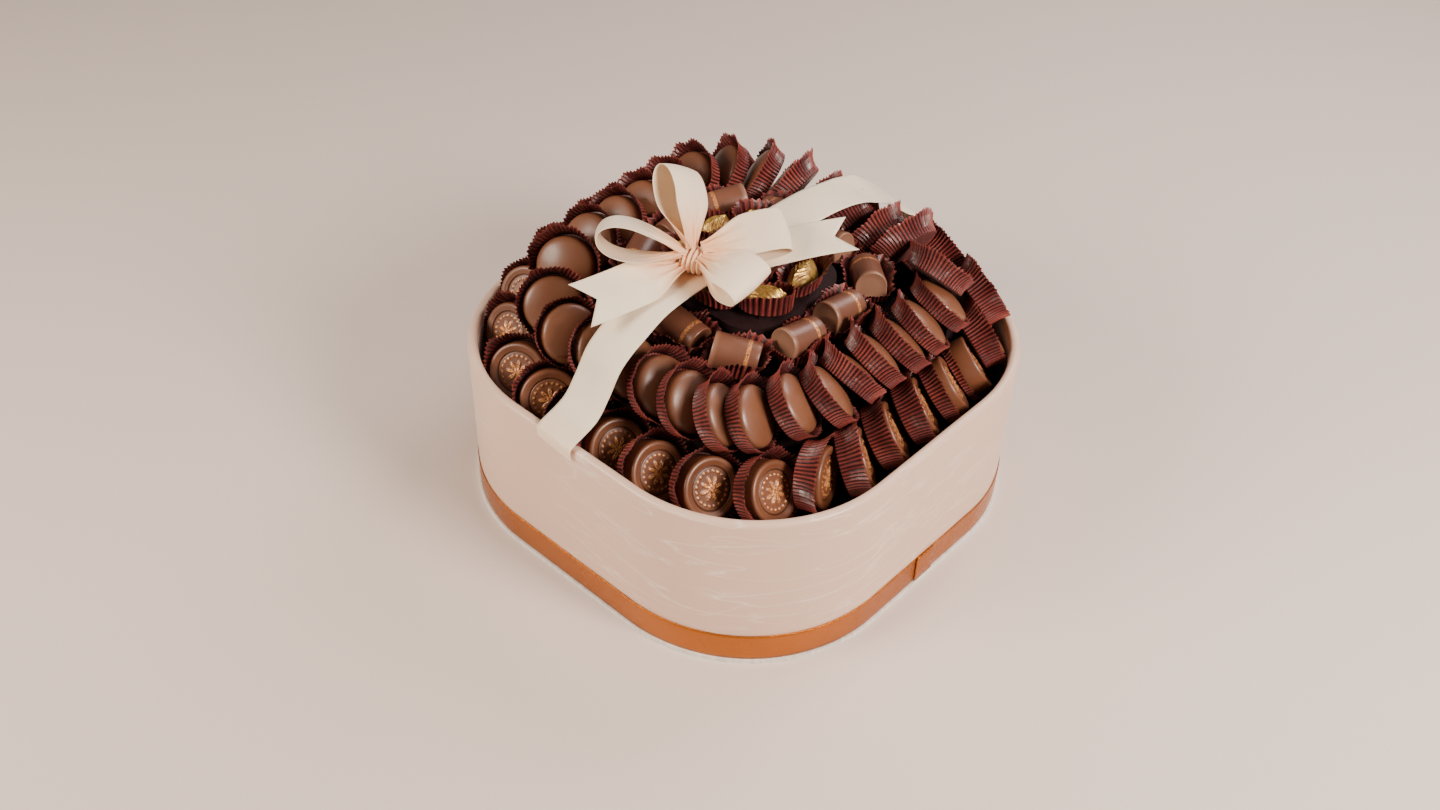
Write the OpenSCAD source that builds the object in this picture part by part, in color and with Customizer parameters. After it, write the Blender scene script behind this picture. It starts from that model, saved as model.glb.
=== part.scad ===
/* [Box] */
// Outside width of the square box
box_side = 250; // [246:1:260]
// Outside radius of the upright corners, as a share of the side
corner_radius_share = 0.336; // [0.32:0.004:0.344]
// Height of the rim above the table
box_h = 94; // [90:1:98]
// Thickness of the wall board
wall_t = 3.4; // [2:0.2:3.6]
// Thickness of the leatherette wrap
wrap_t = 0.4; // [0.3:0.1:0.6]
// Thickness of the paper lining
lining_t = 0.4; // [0.3:0.1:0.6]
// Thickness of the base board
base_t = 2.5; // [2:0.25:4]
// How far the base board stands out past the wall
base_lip = 1.5; // [1.4:0.1:3]
// Clearance between pieces that sit one in another
gap = 0.3; // [0.2:0.05:0.35]

/* [Band] */
// Height of the satin band round the foot
band_h = 16.5; // [10:0.5:25]
// Thickness of the satin band
band_t = 0.4; // [0.3:0.1:0.6]
// Length of the lap where the ends of the band meet
lap_l = 14; // [8:1:20]
// Distance of the lap behind the middle of the right side
lap_y = 8; // [0:1:20]

/* [Rows] */
// Distance of the outer row from the middle of the box, as a share of the side
row_a_share = 0.408; // [0.406:0.0004:0.408]
// Distance from the outer row to the second row, as a share of the side
step_ab_share = 0.092; // [0.088:0.002:0.096]
// Distance from the second row to the third row, as a share of the side
step_bc_share = 0.112; // [0.108:0.002:0.114]
// Distance from the third row to the crown, as a share of the side
step_cd_share = 0.092; // [0.088:0.002:0.094]
// Radius of the turns of the outer row, as a share of the side
turn_a_share = 0.332; // [0.32:0.004:0.336]
// Radius of the turns of the second row, as a share of the side
turn_b_share = 0.2; // [0.184:0.004:0.216]
// Radius of the turns of the third row, as a share of the side
turn_c_share = 0.144; // [0.136:0.004:0.152]
// Radius of the turns of the crown, as a share of the side
turn_d_share = 0.088; // [0.08:0.004:0.096]
// Depth of the middle of a medallion at the front below the rim, as a share of the side
sink_share = 0.04; // [0.016:0.002:0.048]
// Rise from the outer row to the second row, as a share of the side
rise_ab_share = 0.116; // [0.116:0.002:0.128]
// Rise from the second row to the third row, as a share of the side
rise_bc_share = 0.048; // [0.044:0.002:0.056]
// Rise from the third row to the crown, as a share of the side
rise_cd_share = 0.052; // [0.048:0.002:0.06]
// Lean of the round pralines from upright
lean = 30; // [29.8:0.1:30.2]
// Lean of the logs from level
log_lean = 10; // [0:1:12]

/* [Risers] */
// Least height of a seat block above its riser at the front, as a share of the side
seat_height_share = 0.012; // [0.008:0.002:0.024]
// Width of a seat block under a praline, as a share of the side
seat_width_share = 0.048; // [0.04:0.004:0.056]
// Length of a seat block under a praline, as a share of the side
seat_length_share = 0.024; // [0.016:0.004:0.028]
// Length of a step under a medallion, as a share of the side
step_length_share = 0.048; // [0.032:0.004:0.052]

/* [Round pralines] */
// Radius of a round cup over its pleats, as a share of the side
cup_radius_share = 0.0664; // [0.0656:0.0002:0.0664]
// Thickness of the paper of a cup
paper_t = 0.4; // [0.3:0.1:0.5]
// Depth of the pleats of a cup
pleat = 0.7; // [0.4:0.1:0.8]
// Number of pleats round a round cup
pleats = 20; // [16:2:28]
// Thickness of a medallion with the floor of its cup, as a share of the side
medal_all_share = 0.0508; // [0.044:0.002:0.0508]
// Depth of the cup of a medallion, as a share of the side
medal_cup_share = 0.04; // [0.028:0.002:0.044]
// Width of the raised edge of a medallion, as a share of the side
medal_rim_share = 0.008; // [0.004:0.001:0.012]
// Depth of the face of a medallion below its edge, as a share of the side
medal_sink_share = 0.0032; // [0.0016:0.0004:0.006]
// Radius of the boss on the face of a medallion, as a share of the side
medal_boss_share = 0.012; // [0.008:0.002:0.024]
// Thickness of a domed praline with the floor of its cup, as a share of the side
dome_all_share = 0.0484; // [0.044:0.002:0.0484]
// Height of its dome, as a share of the side
dome_height_share = 0.0152; // [0.008:0.0008:0.016]
// Depth of the cup of a domed praline, as a share of the side
dome_cup_share = 0.0336; // [0.024:0.0008:0.0344]

/* [Logs and leaves] */
// Distance from the middle of a log to the end of its cup, as a share of the side
log_reach_share = 0.0516; // [0.0496:0.002:0.0536]
// Distance from the middle of a log to the side of its cup, as a share of the side
log_beside_share = 0.0384; // [0.0364:0.002:0.0404]
// Height of a log with the floor of its cup, as a share of the side
log_all_share = 0.0648; // [0.0588:0.002:0.0668]
// Height of the cup round a log, as a share of the side
log_cup_share = 0.04; // [0.024:0.002:0.048]
// Distance from the middle of a leaf to the end of its cup, as a share of the side
leaf_cup_length_share = 0.0536; // [0.0496:0.002:0.0536]
// Distance from the middle of a leaf to the side of its cup, as a share of the side
leaf_cup_width_share = 0.0336; // [0.0316:0.001:0.0336]
// Height of a leaf with the floor of its cup, as a share of the side
leaf_all_share = 0.0468; // [0.04:0.002:0.0468]
// Height of the cup round a leaf praline, as a share of the side
leaf_cup_share = 0.032; // [0.02:0.002:0.036]

/* [Ribbon] */
// Width of the satin ribbon, as a share of the side
ribbon_width_share = 0.1; // [0.08:0.004:0.104]
// Thickness of the satin ribbon
ribbon_t = 0.5; // [0.4:0.1:0.8]
// Height of the top of the strap above the middle of the crown, as a share of the side
strap_rise_share = 0.05; // [0.05:0.002:0.072]
// How far the strap hangs down the front and the back of the box, as a share of the side
strap_drop_share = 0.02; // [0.016:0.004:0.12]
// How far the strap leans off the straight, end to end, as a share of the side
strap_skew_share = 0.064; // [0:0.004:0.08]
// Distance of the knot in front of the middle of the box, as a share of the side
knot_y_share = 0.148; // [0.12:0.004:0.18]
// Radius of the knot, as a share of the side
knot_radius_share = 0.026; // [0.02:0.002:0.028]
// Height of the knot, as a share of the side
knot_height_share = 0.048; // [0.04:0.002:0.056]
// Length of the loop that stands up behind the knot, as a share of the side
loop_up_length_share = 0.18; // [0.12:0.004:0.2]
// Length of the loop that lies to the left, as a share of the side
loop_left_length_share = 0.188; // [0.12:0.004:0.2]
// Length of the loop that lies to the right at the front, as a share of the side
loop_right_length_share = 0.156; // [0.12:0.004:0.184]
// Length of the loop that lies to the right at the back, as a share of the side
loop_back_length_share = 0.18; // [0.12:0.004:0.2]
// Thickness through a puffed loop, as a share of the side
puff_share = 0.068; // [0.048:0.004:0.072]
// Length of the short tail, as a share of the side
tail_front_length_share = 0.24; // [0.18:0.004:0.256]
// Length of the long tail, as a share of the side
tail_back_length_share = 0.312; // [0.24:0.004:0.328]
// Depth of the notch in the end of a tail, as a share of the side
notch_share = 0.036; // [0.016:0.004:0.056]

/* [Hidden] */
$fn = 48;

// sizes that go with the side of the box
corner_r = box_side * corner_radius_share;
row_a = box_side * row_a_share;
step_ab = box_side * step_ab_share;
step_bc = box_side * step_bc_share;
step_cd = box_side * step_cd_share;
turn_a = box_side * turn_a_share;
turn_b = box_side * turn_b_share;
turn_c = box_side * turn_c_share;
turn_d = box_side * turn_d_share;
sink = box_side * sink_share;
rise_ab = box_side * rise_ab_share;
rise_bc = box_side * rise_bc_share;
rise_cd = box_side * rise_cd_share;
seat_h = box_side * seat_height_share;
seat_w = box_side * seat_width_share;
seat_l = box_side * seat_length_share;
step_l = box_side * step_length_share;
cup_r = box_side * cup_radius_share;
medal_all = box_side * medal_all_share;
medal_cup = box_side * medal_cup_share;
medal_rim = box_side * medal_rim_share;
medal_sink = box_side * medal_sink_share;
medal_boss = box_side * medal_boss_share;
dome_all = box_side * dome_all_share;
dome_h = box_side * dome_height_share;
dome_cup = box_side * dome_cup_share;
log_reach = box_side * log_reach_share;
log_beside = box_side * log_beside_share;
log_all = box_side * log_all_share;
log_cup = box_side * log_cup_share;
leaf_cup_l = box_side * leaf_cup_length_share;
leaf_cup_w = box_side * leaf_cup_width_share;
leaf_all = box_side * leaf_all_share;
leaf_cup = box_side * leaf_cup_share;
ribbon_w = box_side * ribbon_width_share;
strap_rise = box_side * strap_rise_share;
strap_drop = box_side * strap_drop_share;
strap_skew = box_side * strap_skew_share;
knot_y = box_side * knot_y_share;
knot_r = box_side * knot_radius_share;
knot_h = box_side * knot_height_share;
loop_up_l = box_side * loop_up_length_share;
loop_left_l = box_side * loop_left_length_share;
loop_right_l = box_side * loop_right_length_share;
loop_back_l = box_side * loop_back_length_share;
puff = box_side * puff_share;
tail_front_l = box_side * tail_front_length_share;
tail_back_l = box_side * tail_back_length_share;
notch = box_side * notch_share;

// planes of the box wall, from the outside in
half = box_side / 2;
skin_in = half - wrap_t;
board_out = skin_in - gap;
board_in = board_out - wall_t;
lining_out = board_in - gap;
lining_in = lining_out - lining_t;
foot_z = base_t + gap;
rim_z = box_h - wrap_t;
board_top = rim_z - gap;
bed_out = lining_in - gap;

// room inside the cups, and the chocolates that fill it
cup_in = cup_r - pleat - paper_t;
praline_r = cup_in - gap;
floor_t = paper_t + gap;
medal_t = medal_all - floor_t;
dome_side = dome_all - floor_t - dome_h;
log_cup_l = log_reach - pleat;
log_cup_w = log_beside - pleat;
log_l = 2 * (log_cup_l - paper_t - gap);
log_w = 2 * (log_cup_w - paper_t - gap);
log_h = log_all - floor_t;
leaf_l = 2 * (leaf_cup_l - pleat - paper_t - gap);
leaf_w = 2 * (leaf_cup_w - pleat - paper_t - gap);
leaf_h = leaf_all - floor_t;

// middle line of each row: half width; heights of the middles
mid_a = box_h - sink;
row_b = row_a - step_ab;
row_c = row_b - step_bc;
row_d = row_c - step_cd;
mid_b = mid_a + rise_ab;
mid_c = mid_b + rise_bc;
mid_d = mid_c + rise_cd;

// full lag of a piece behind the turn of its row at a corner
lag = 45;

// Places of the pieces in their rows, chosen by eye: share of the way round from the middle of the
// front side, share of the cup's radius further out, share of the cup's width higher than the front
// of the row, share of the full lag and, for the round pralines, share of the full lean.
place_a_shares = [
    [0.011, 0, -0.03, 0.33, 1], [0.049, 0.06, 0, 0.33, 1], [0.089, 0, 0, 0.84, 1],
    [0.132, 0, 0, 1, 1], [0.1695, -0.15, 0.07, 0.97, 0.3], [0.2032, -0.13, 0.08, 0.82, 0.66],
    [0.2398, -0.24, 0.09, 0.96, 0.95], [0.2734, -0.2, 0.15, 0.91, 0.99],
    [0.3081, -0.04, 0.16, 1.15, 1.11], [0.3459, 0.35, 0.02, 1.5, 1.12],
    [0.3698, 0.73, 0.22, 1.6, 0.99], [0.3933, 0.88, 0.64, 1.77, 1.05],
    [0.4362, 0.66, 0.72, 2.15, 1.14], [0.4716, 0.24, 0.55, 2.4, 1.28], [0.514, 0, 0.48, 0, 1],
    [0.549, 0, 0.54, 0, 1], [0.585, 0, 0.66, 0, 1], [0.621, 0.2, 0.66, 0, 1],
    [0.655, 0.4, 0.66, 0, 1], [0.689, 0.2, 0.66, 0, 1], [0.725, 0.04, 0.66, 0, 1],
    [0.76, 0, 0.63, 0, 1], [0.797, 0.12, 0.51, 0.1, 1], [0.833, 0.42, 0.3, 0.33, 1],
    [0.867, 0.55, 0.12, 0.9, 1], [0.904, 0.4, 0, 0.73, 1], [0.94, 0, 0, 0.55, 1],
    [0.974, 0, 0, 0.4, 1]];
place_b_shares = [
    [-0.004, 0, 0, 0, 1], [0.031, 0, 0, 0, 1], [0.063, -0.06, 0, 0, 1], [0.095, 0, 0, 0, 1],
    [0.1226, -0.08, 0, 0.42, 1], [0.1638, -0.28, 0.04, 0.68, 1.21], [0.2009, -0.1, 0, 0.75, 1.31],
    [0.2355, -0.19, 0, 0.25, 1.36], [0.2643, -0.1, 0.06, 0.48, 1.37],
    [0.2986, -0.05, 0.03, 0.5, 1.43], [0.3285, 0.09, 0.1, 0.95, 1.46],
    [0.3596, 0.46, 0.16, 1.36, 1.58], [0.3831, 0.43, 0.45, 1.22, 1.49], [0.433, 0.12, 0.45, 0, 1],
    [0.465, 0, 0.35, 0, 1], [0.5, -0.06, 0.29, 0, 1], [0.535, -0.06, 0.36, 0, 1],
    [0.57, -0.06, 0.48, 0, 1], [0.604, 0, 0.51, 0, 1], [0.639, 0.12, 0.51, 0, 1],
    [0.674, 0.06, 0.51, 0, 1], [0.709, -0.06, 0.48, 0, 1], [0.743, -0.06, 0.48, 0, 1],
    [0.778, -0.06, 0.46, 0, 1], [0.813, 0, 0.4, 0, 1], [0.848, 0.18, 0.3, 0, 1],
    [0.885, 0.4, 0.03, 0, 1], [0.921, 0.24, -0.04, 0, 1], [0.958, 0, -0.03, 0.1, 1]];
place_c_shares = [
    [0.012, 0, 0, 0], [0.101, 0.1, 0, 0], [0.2, -0.12, 0, 0], [0.288, -0.1, 0, 0],
    [0.378, 0.22, 0.03, 0], [0.468, -0.1, 0.12, 0], [0.555, -0.08, 0.2, 0], [0.651, 0.05, 0.24, 0],
    [0.741, -0.1, 0.24, 0], [0.831, -0.04, 0.18, 0], [0.926, 0.08, 0.06, 0]];
place_d_shares = [
    [0.02, 0.06, 0, 0], [0.16, 0.12, 0, 0.5], [0.3, 0, 0, 0], [0.44, 0.06, 0.03, 0],
    [0.58, 0.06, 0.06, 0], [0.72, 0, 0.06, 0], [0.86, 0.06, 0.06, 0], [0.25, -1.15, 0.06, 0],
    [0.75, -1.15, 0.06, 0]];

// pieces that lift out, each on its own, by their number in the row
loose_a = [15, 18, 21, 23];
loose_b = [4, 8, 11, 18, 25];
loose_c = [2, 4, 8];
loose_d = [1, 5];

// point, in plan, and heading at a share of the way round a rounded square
function side_len(h, r) = 2 * (h - r) + PI * r / 2;
function way(h, r, share) =
    let (d = share * 4 * side_len(h, r) + h - r, k = floor(d / side_len(h, r)),
        t = d - k * side_len(h, r), a = max(0, t - 2 * (h - r)) / r * 180 / PI,
        x = min(t, 2 * (h - r)) - (h - r) + r * sin(a), y = -(h - r) - r * cos(a))
    [x * cos(90 * k) - y * sin(90 * k), x * sin(90 * k) + y * cos(90 * k), 90 * k + a];
// place of a piece: x, y, z and the heading that it faces
function spot(h, r, mid, p, reach) =
    let (w = way(h, r, p[0]))
    [w[0] + p[1] * reach * sin(w[2]), w[1] - p[1] * reach * cos(w[2]), mid + p[2] * 2 * reach,
        w[2] - p[3] * lag];
function spot_a(i) =
    concat(spot(row_a, turn_a, mid_a, place_a_shares[i], cup_r), [lean * place_a_shares[i][4]]);
function spot_b(i) =
    concat(spot(row_b, turn_b, mid_b, place_b_shares[i], cup_r), [lean * place_b_shares[i][4]]);
function spot_c(i) = spot(row_c, turn_c, mid_c, place_c_shares[i], cup_r);
function spot_d(i) = spot(row_d, turn_d, mid_d, place_d_shares[i], cup_r);
function loose(i, list) = len([for (k = list) if (k == i) k]) > 0;
function fixed(all, list, from, to) =
    [for (i = [0 : len(all) - 1]) if (!loose(i, list) && i >= from && i <= to) i];

// slab with the plan of a rounded square, between two heights
module slab(h, r, z0, z1) {
    translate([0, 0, z0]) linear_extrude(height = z1 - z0) union() {
        square([2 * h, 2 * (h - r)], center = true);
        square([2 * (h - r), 2 * h], center = true);
        for (x = [-1, 1], y = [-1, 1]) translate([x * (h - r), y * (h - r)]) circle(r, $fn = 96);
    }
}
// closed wall between two rounded squares
module ring(h, r, t, z0, z1) {
    difference() {
        slab(h, r, z0, z1);
        slab(h - t, r - t, z0 - base_t, z1 + base_t);
    }
}
module at_round(s) {
    translate([s[0], s[1], s[2]]) rotate([0, 0, s[3]]) rotate([0, 90 - s[4], 0]) children();
}
module at_flat(s, lean) {
    translate([s[0], s[1], s[2]]) rotate([0, 0, s[3]]) rotate([0, -lean, 0]) children();
}

// pleated outline of a round or oval cup
function pleated(a, b) =
    [for (i = [0 : 2 * pleats - 1]) let (w = i * 180 / pleats, k = (i % 2) * pleat)
        [(a - k) * cos(w), (b - k) * sin(w)]];
function oval(a, b) = [for (i = [0 : 2 * pleats - 1]) let (w = i * 180 / pleats)
    [a * cos(w), b * sin(w)]];
// pleated edge between two corners
function folds(a, b, n) =
    [for (i = [0 : 2 * n - 1]) let (d = b - a, o = [d[1], -d[0]] / norm(d))
        a + d * i / (2 * n) + o * (i % 2) * pleat];
module round_cup(all, h) {
    translate([0, 0, -all / 2]) difference() {
        linear_extrude(height = h) polygon(pleated(cup_r, cup_r));
        translate([0, 0, paper_t]) cylinder(r = cup_in, h = h);
    }
}
module medallion() {
    translate([0, 0, floor_t - medal_all / 2]) rotate_extrude()
        polygon([[0, 0], [praline_r, 0], [praline_r, medal_t], [praline_r - medal_rim, medal_t],
            [praline_r - medal_rim, medal_t - medal_sink], [medal_boss, medal_t - medal_sink],
            [medal_boss, medal_t - medal_sink / 2], [0, medal_t - medal_sink / 2]]);
}
module dome() {
    ball_r = (praline_r * praline_r + dome_h * dome_h) / (2 * dome_h);
    translate([0, 0, floor_t - dome_all / 2]) intersection() {
        cylinder(r = praline_r, h = dome_side + dome_h);
        translate([0, 0, dome_side + dome_h - ball_r]) sphere(ball_r, $fn = 96);
    }
}
module log_piece() {
    translate([-log_l / 2, 0, floor_t - log_all / 2]) rotate([90, 0, 90])
        linear_extrude(height = log_l) union() {
            translate([-log_w / 2, 0]) square([log_w, log_h - log_w / 2]);
            intersection() {
                translate([0, log_h - log_w / 2]) circle(log_w / 2);
                translate([-log_w / 2, 0]) square([log_w, log_h]);
            }
        }
}
module log_cup_piece() {
    a = log_cup_l;
    b = log_cup_w;
    translate([0, 0, -log_all / 2]) difference() {
        linear_extrude(height = log_cup) polygon(concat(folds([-a, -b], [a, -b], 8),
            folds([a, -b], [a, b], 6), folds([a, b], [-a, b], 8), folds([-a, b], [-a, -b], 6)));
        translate([-a + paper_t, -b + paper_t, paper_t])
            cube([2 * (a - paper_t), 2 * (b - paper_t), log_cup]);
    }
}
module leaf_piece() {
    a = leaf_l / 2;
    b = leaf_w / 2;
    arc_r = (a * a + b * b) / (2 * b);
    ball_r = (a * a + leaf_h * leaf_h) / (2 * leaf_h);
    translate([0, 0, floor_t - leaf_all / 2]) intersection() {
        linear_extrude(height = leaf_h) intersection() {
            translate([0, arc_r - b]) circle(arc_r, $fn = 96);
            translate([0, b - arc_r]) circle(arc_r, $fn = 96);
        }
        translate([0, 0, leaf_h - ball_r - paper_t]) sphere(ball_r + paper_t, $fn = 96);
    }
}
module leaf_cup_piece() {
    translate([0, 0, -leaf_all / 2]) difference() {
        linear_extrude(height = leaf_cup) polygon(pleated(leaf_cup_l, leaf_cup_w));
        translate([0, 0, paper_t]) linear_extrude(height = leaf_cup)
            polygon(oval(leaf_cup_l - pleat - paper_t, leaf_cup_w - pleat - paper_t));
    }
}

// how far the lowest point of a piece lies below its middle
function low_round(all, lean) = cup_r * cos(lean) + all / 2 * sin(lean) + gap;
low_log = log_all / 2 * cos(log_lean) + log_reach * sin(log_lean) + gap;
low_leaf = leaf_all / 2 + gap;

// tops of the risers and the seams between them
top_a = mid_a - low_round(medal_all, lean) - seat_h;
top_b = mid_b - low_round(dome_all, lean) - seat_h;
top_c = mid_c - low_log - seat_h;
top_d = mid_d - low_leaf - seat_h;
seam_ab = row_b + cup_r * 0.09;
seam_bc = row_c + log_w * 0.28;
seam_cd = row_d + log_w * 0.55;
bed_turn = corner_r - half + bed_out;
turn_ab = turn_a * 0.72;
turn_cd = turn_d * 0.82;

module seat_round(s, all, top, l) {
    translate([s[0], s[1], 0]) rotate([0, 0, s[3]])
        translate([cup_r * sin(s[4]) - all / 2 * cos(s[4]) + seat_l / 2 - l, -seat_w / 12, top])
            cube([l, seat_w, s[2] - low_round(all, s[4]) - top]);
}
module seat_flat(s, all, lean, top) {
    translate([s[0], s[1], top]) rotate([0, 0, s[3]]) intersection() {
        translate([0, 0, s[2] - top]) rotate([0, -lean, 0])
            translate([-seat_l / 2, -seat_w / 2, -s[2]])
                cube([seat_l, seat_w, s[2] - all / 2 - gap]);
        translate([-seat_w, -seat_w, 0]) cube([2 * seat_w, 2 * seat_w, s[2]]);
    }
}
// strap: the line of its side view, as shares of the half width and of the rise over the rim
strap_shares = [
    [-0.88, 0.16], [-0.816, 0.345], [-0.76, 0.55], [-0.704, 0.665], [-0.64, 0.752],
    [-0.52, 0.894], [-0.36, 0.956], [-0.2, 0.965], [0, 0.991], [0.2, 1], [0.4, 1],
    [0.56, 0.945], [0.64, 0.89], [0.72, 0.82], [0.8, 0.69], [0.904, 0.5], [0.97, 0.35]];
skew = atan(strap_skew / box_side);
strap_top = mid_d + strap_rise;
strap_stand = 1.5 * gap + ribbon_t / 2 + ribbon_w / 2 * sin(skew);
strap_mid = [for (p = strap_shares) [p[0] * half, box_h + p[1] * (strap_top - box_h)]];
// smooth curve through the points, with n steps between each two
function curve(p, n) = concat([for (i = [0 : len(p) - 2], j = [0 : n - 1])
    let (a = p[max(i - 1, 0)], b = p[i], c = p[i + 1], d = p[min(i + 2, len(p) - 1)], u = j / n)
        (2 * b + (c - a) * u + (2 * a - 5 * b + 4 * c - d) * u * u
            + (3 * b - a - 3 * c + d) * u * u * u) / 2], [p[len(p) - 1]]);
strap_line = concat(
    [[-half - strap_stand, box_h - strap_drop], [-half - strap_stand, box_h],
        [-half - gap, box_h + strap_stand * 1.26]],
    curve(strap_mid, 3),
    [[half + strap_stand, box_h + strap_stand * 2], [half + strap_stand, box_h - strap_drop]]);
function beside(p, o) = [for (i = [0 : len(p) - 1])
    let (d = p[min(i + 1, len(p) - 1)] - p[max(i - 1, 0)]) p[i] + [-d[1], d[0]] / norm(d) * o];
function backward(p) = [for (i = [len(p) - 1 : -1 : 0]) p[i]];

// knot and bow
knot_z = lookup(-knot_y, strap_mid) + ribbon_t / 2 + gap + knot_h / 2;
knot_x = -knot_y * sin(skew);
root = knot_r + gap;
root_w = knot_r * 0.45;
function tear(x0, x1, h) = [for (w = [0 : 10 : 350]) let (s = (1 - cos(w)) / 2)
    [x0 + (x1 - x0) * s, h / 2 * sin(w) * pow(s, 0.6)]];
module at_knot(turn, up, roll, rise) {
    translate([knot_x, -knot_y, knot_z + rise]) rotate([0, 0, turn]) rotate([0, -up, 0])
        rotate([roll, 0, 0]) children();
}
function flare(l, n) = [[root, -root_w], [ribbon_w * 0.9, -ribbon_w / 2], [l, -ribbon_w / 2],
    [l - n, 0], [l, ribbon_w / 2], [ribbon_w * 0.9, ribbon_w / 2], [root, root_w]];
module loop(l, h) {
    intersection() {
        rotate([90, 0, 0]) linear_extrude(height = ribbon_w, center = true) difference() {
            polygon(tear(root, l, h));
            polygon(tear(root + 4 * ribbon_t, l - ribbon_t, h - 2 * ribbon_t));
        }
        linear_extrude(height = 2 * h, center = true) polygon(flare(l + ribbon_t, 0));
    }
}
module tail(l) {
    linear_extrude(height = ribbon_t, center = true) polygon(flare(l, notch));
}

// the pieces of a row that stay in the tray: all between two numbers but the loose ones
module keep_a(from, to) {
    for (i = fixed(place_a_shares, loose_a, from, to)) at_round(spot_a(i)) children();
}
module keep_b(from, to) {
    for (i = fixed(place_b_shares, loose_b, from, to)) at_round(spot_b(i)) children();
}
module keep_c() {
    for (i = fixed(place_c_shares, loose_c, 0, len(place_c_shares)))
        at_flat(spot_c(i), -log_lean) children();
}
module keep_d() {
    for (i = fixed(place_d_shares, loose_d, 0, len(place_d_shares)))
        at_flat(spot_d(i), 0) children();
}
module lift_a(k) { at_round(spot_a(loose_a[k])) children(); }
module lift_b(k) { at_round(spot_b(loose_b[k])) children(); }
module lift_c(k) { at_flat(spot_c(loose_c[k]), -log_lean) children(); }
module lift_d(k) { at_flat(spot_d(loose_d[k]), 0) children(); }

module base_board() {
    color("#e9ded0") slab(half + base_lip, corner_r + base_lip, 0, base_t);
}
module wall_board() {
    color("#b9ab98") ring(board_out, corner_r - wrap_t - gap, wall_t, foot_z, board_top);
}
module wall_wrap() {
    color("#dccdb9") difference() {
        slab(half, corner_r, foot_z, box_h);
        slab(skin_in, corner_r - wrap_t, 0, rim_z);
        slab(board_in, corner_r - half + board_in, 0, box_h + base_t);
    }
}
module wall_lining() {
    color("#e6dccb") ring(lining_out, corner_r - half + lining_out, lining_t, foot_z, board_top);
}
module foot_band() {
    color("#b4622e") ring(half + gap + band_t, corner_r + gap + band_t, band_t, foot_z, foot_z + band_h);
}
module band_lap() {
    color("#d9772f") translate([half + 2 * gap + band_t, lap_y - lap_l, foot_z])
        cube([band_t, lap_l, band_h]);
}
module riser_outer() {
    color("#8d6f55") ring(bed_out, bed_turn, bed_out - seam_ab - gap, base_t, top_a);
}
module riser_middle() {
    color("#8d6f55") ring(seam_ab, turn_ab, seam_ab - seam_bc - gap, base_t, top_b);
}
module riser_inner() {
    color("#8d6f55") ring(seam_bc, turn_c, seam_bc - seam_cd - gap, base_t, top_c);
}
module riser_crown() {
    color("#8d6f55") slab(seam_cd, turn_cd, base_t, top_d);
}
module seats() {
    color("#8d6f55") union() {
        for (i = [0 : len(place_a_shares) - 1]) seat_round(spot_a(i), medal_all, top_a, step_l);
        for (i = [0 : len(place_b_shares) - 1]) seat_round(spot_b(i), dome_all, top_b, seat_l);
        for (i = [0 : len(place_c_shares) - 1]) seat_flat(spot_c(i), log_all, -log_lean, top_c);
        for (i = [0 : len(place_d_shares) - 1]) seat_flat(spot_d(i), leaf_all, 0, top_d);
    }
}
module strap() {
    color("#efe6d5") rotate([0, 0, -skew]) rotate([90, 0, 90])
        linear_extrude(height = ribbon_w, center = true) let (p = strap_line)
            polygon(concat(beside(p, ribbon_t / 2), backward(beside(p, -ribbon_t / 2))));
}
module knot() {
    color("#f0d3b4") translate([knot_x, -knot_y, knot_z]) intersection() {
        cylinder(r = knot_r, h = knot_h, center = true);
        sphere(norm([knot_r, knot_h / 2]) * 0.92);
    }
}
module loop_up() {
    color("#efe6d5") at_knot(149, 38, 42, knot_h / 5) loop(loop_up_l, puff);
}
module loop_left() {
    color("#efe6d5") at_knot(218, 12, 22, knot_h / 4) loop(loop_left_l, puff * 1.24);
}
module loop_right() {
    color("#efe6d5") at_knot(-3, 5, 14, knot_h / 4) loop(loop_right_l, puff * 0.94);
}
module loop_back() {
    color("#efe6d5") at_knot(52, 10, 16, knot_h / 2) loop(loop_back_l, puff * 0.6);
}
module tail_front() {
    color("#efe6d5") at_knot(250, -7, -22, 0) tail(tail_front_l);
}
module tail_back() {
    color("#efe6d5") at_knot(54, 6, 5, -knot_h / 12) tail(tail_back_l);
}
module medallions_front() {
    color("#96603f") union() {
        keep_a(0, 5) medallion();
        keep_a(23, 27) medallion();
    }
}
module medallions_back() {
    color("#96603f") keep_a(6, 22) medallion();
}
module medal_cups_front() {
    color("#6b2a2c") union() {
        keep_a(0, 5) round_cup(medal_all, medal_cup);
        keep_a(23, 27) round_cup(medal_all, medal_cup);
    }
}
module medal_cups_back() {
    color("#6b2a2c") keep_a(6, 22) round_cup(medal_all, medal_cup);
}
module domes_front() {
    color("#96603f") union() {
        keep_b(0, 11) dome();
        keep_b(25, 28) dome();
    }
}
module domes_back() {
    color("#96603f") keep_b(12, 24) dome();
}
module dome_cups_front() {
    color("#6b2a2c") union() {
        keep_b(0, 11) round_cup(dome_all, dome_cup);
        keep_b(25, 28) round_cup(dome_all, dome_cup);
    }
}
module dome_cups_back() {
    color("#6b2a2c") keep_b(12, 24) round_cup(dome_all, dome_cup);
}
module logs() {
    color("#9a6a4a") keep_c() log_piece();
}
module log_cups() {
    color("#6b2a2c") keep_c() log_cup_piece();
}
module leaves() {
    color("#b98a35") keep_d() leaf_piece();
}
module leaf_cups() {
    color("#6b2a2c") keep_d() leaf_cup_piece();
}
module medallion_1() {
    color("#96603f") lift_a(0) medallion();
}
module medal_cup_1() {
    color("#6b2a2c") lift_a(0) round_cup(medal_all, medal_cup);
}
module medallion_2() {
    color("#96603f") lift_a(1) medallion();
}
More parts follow.
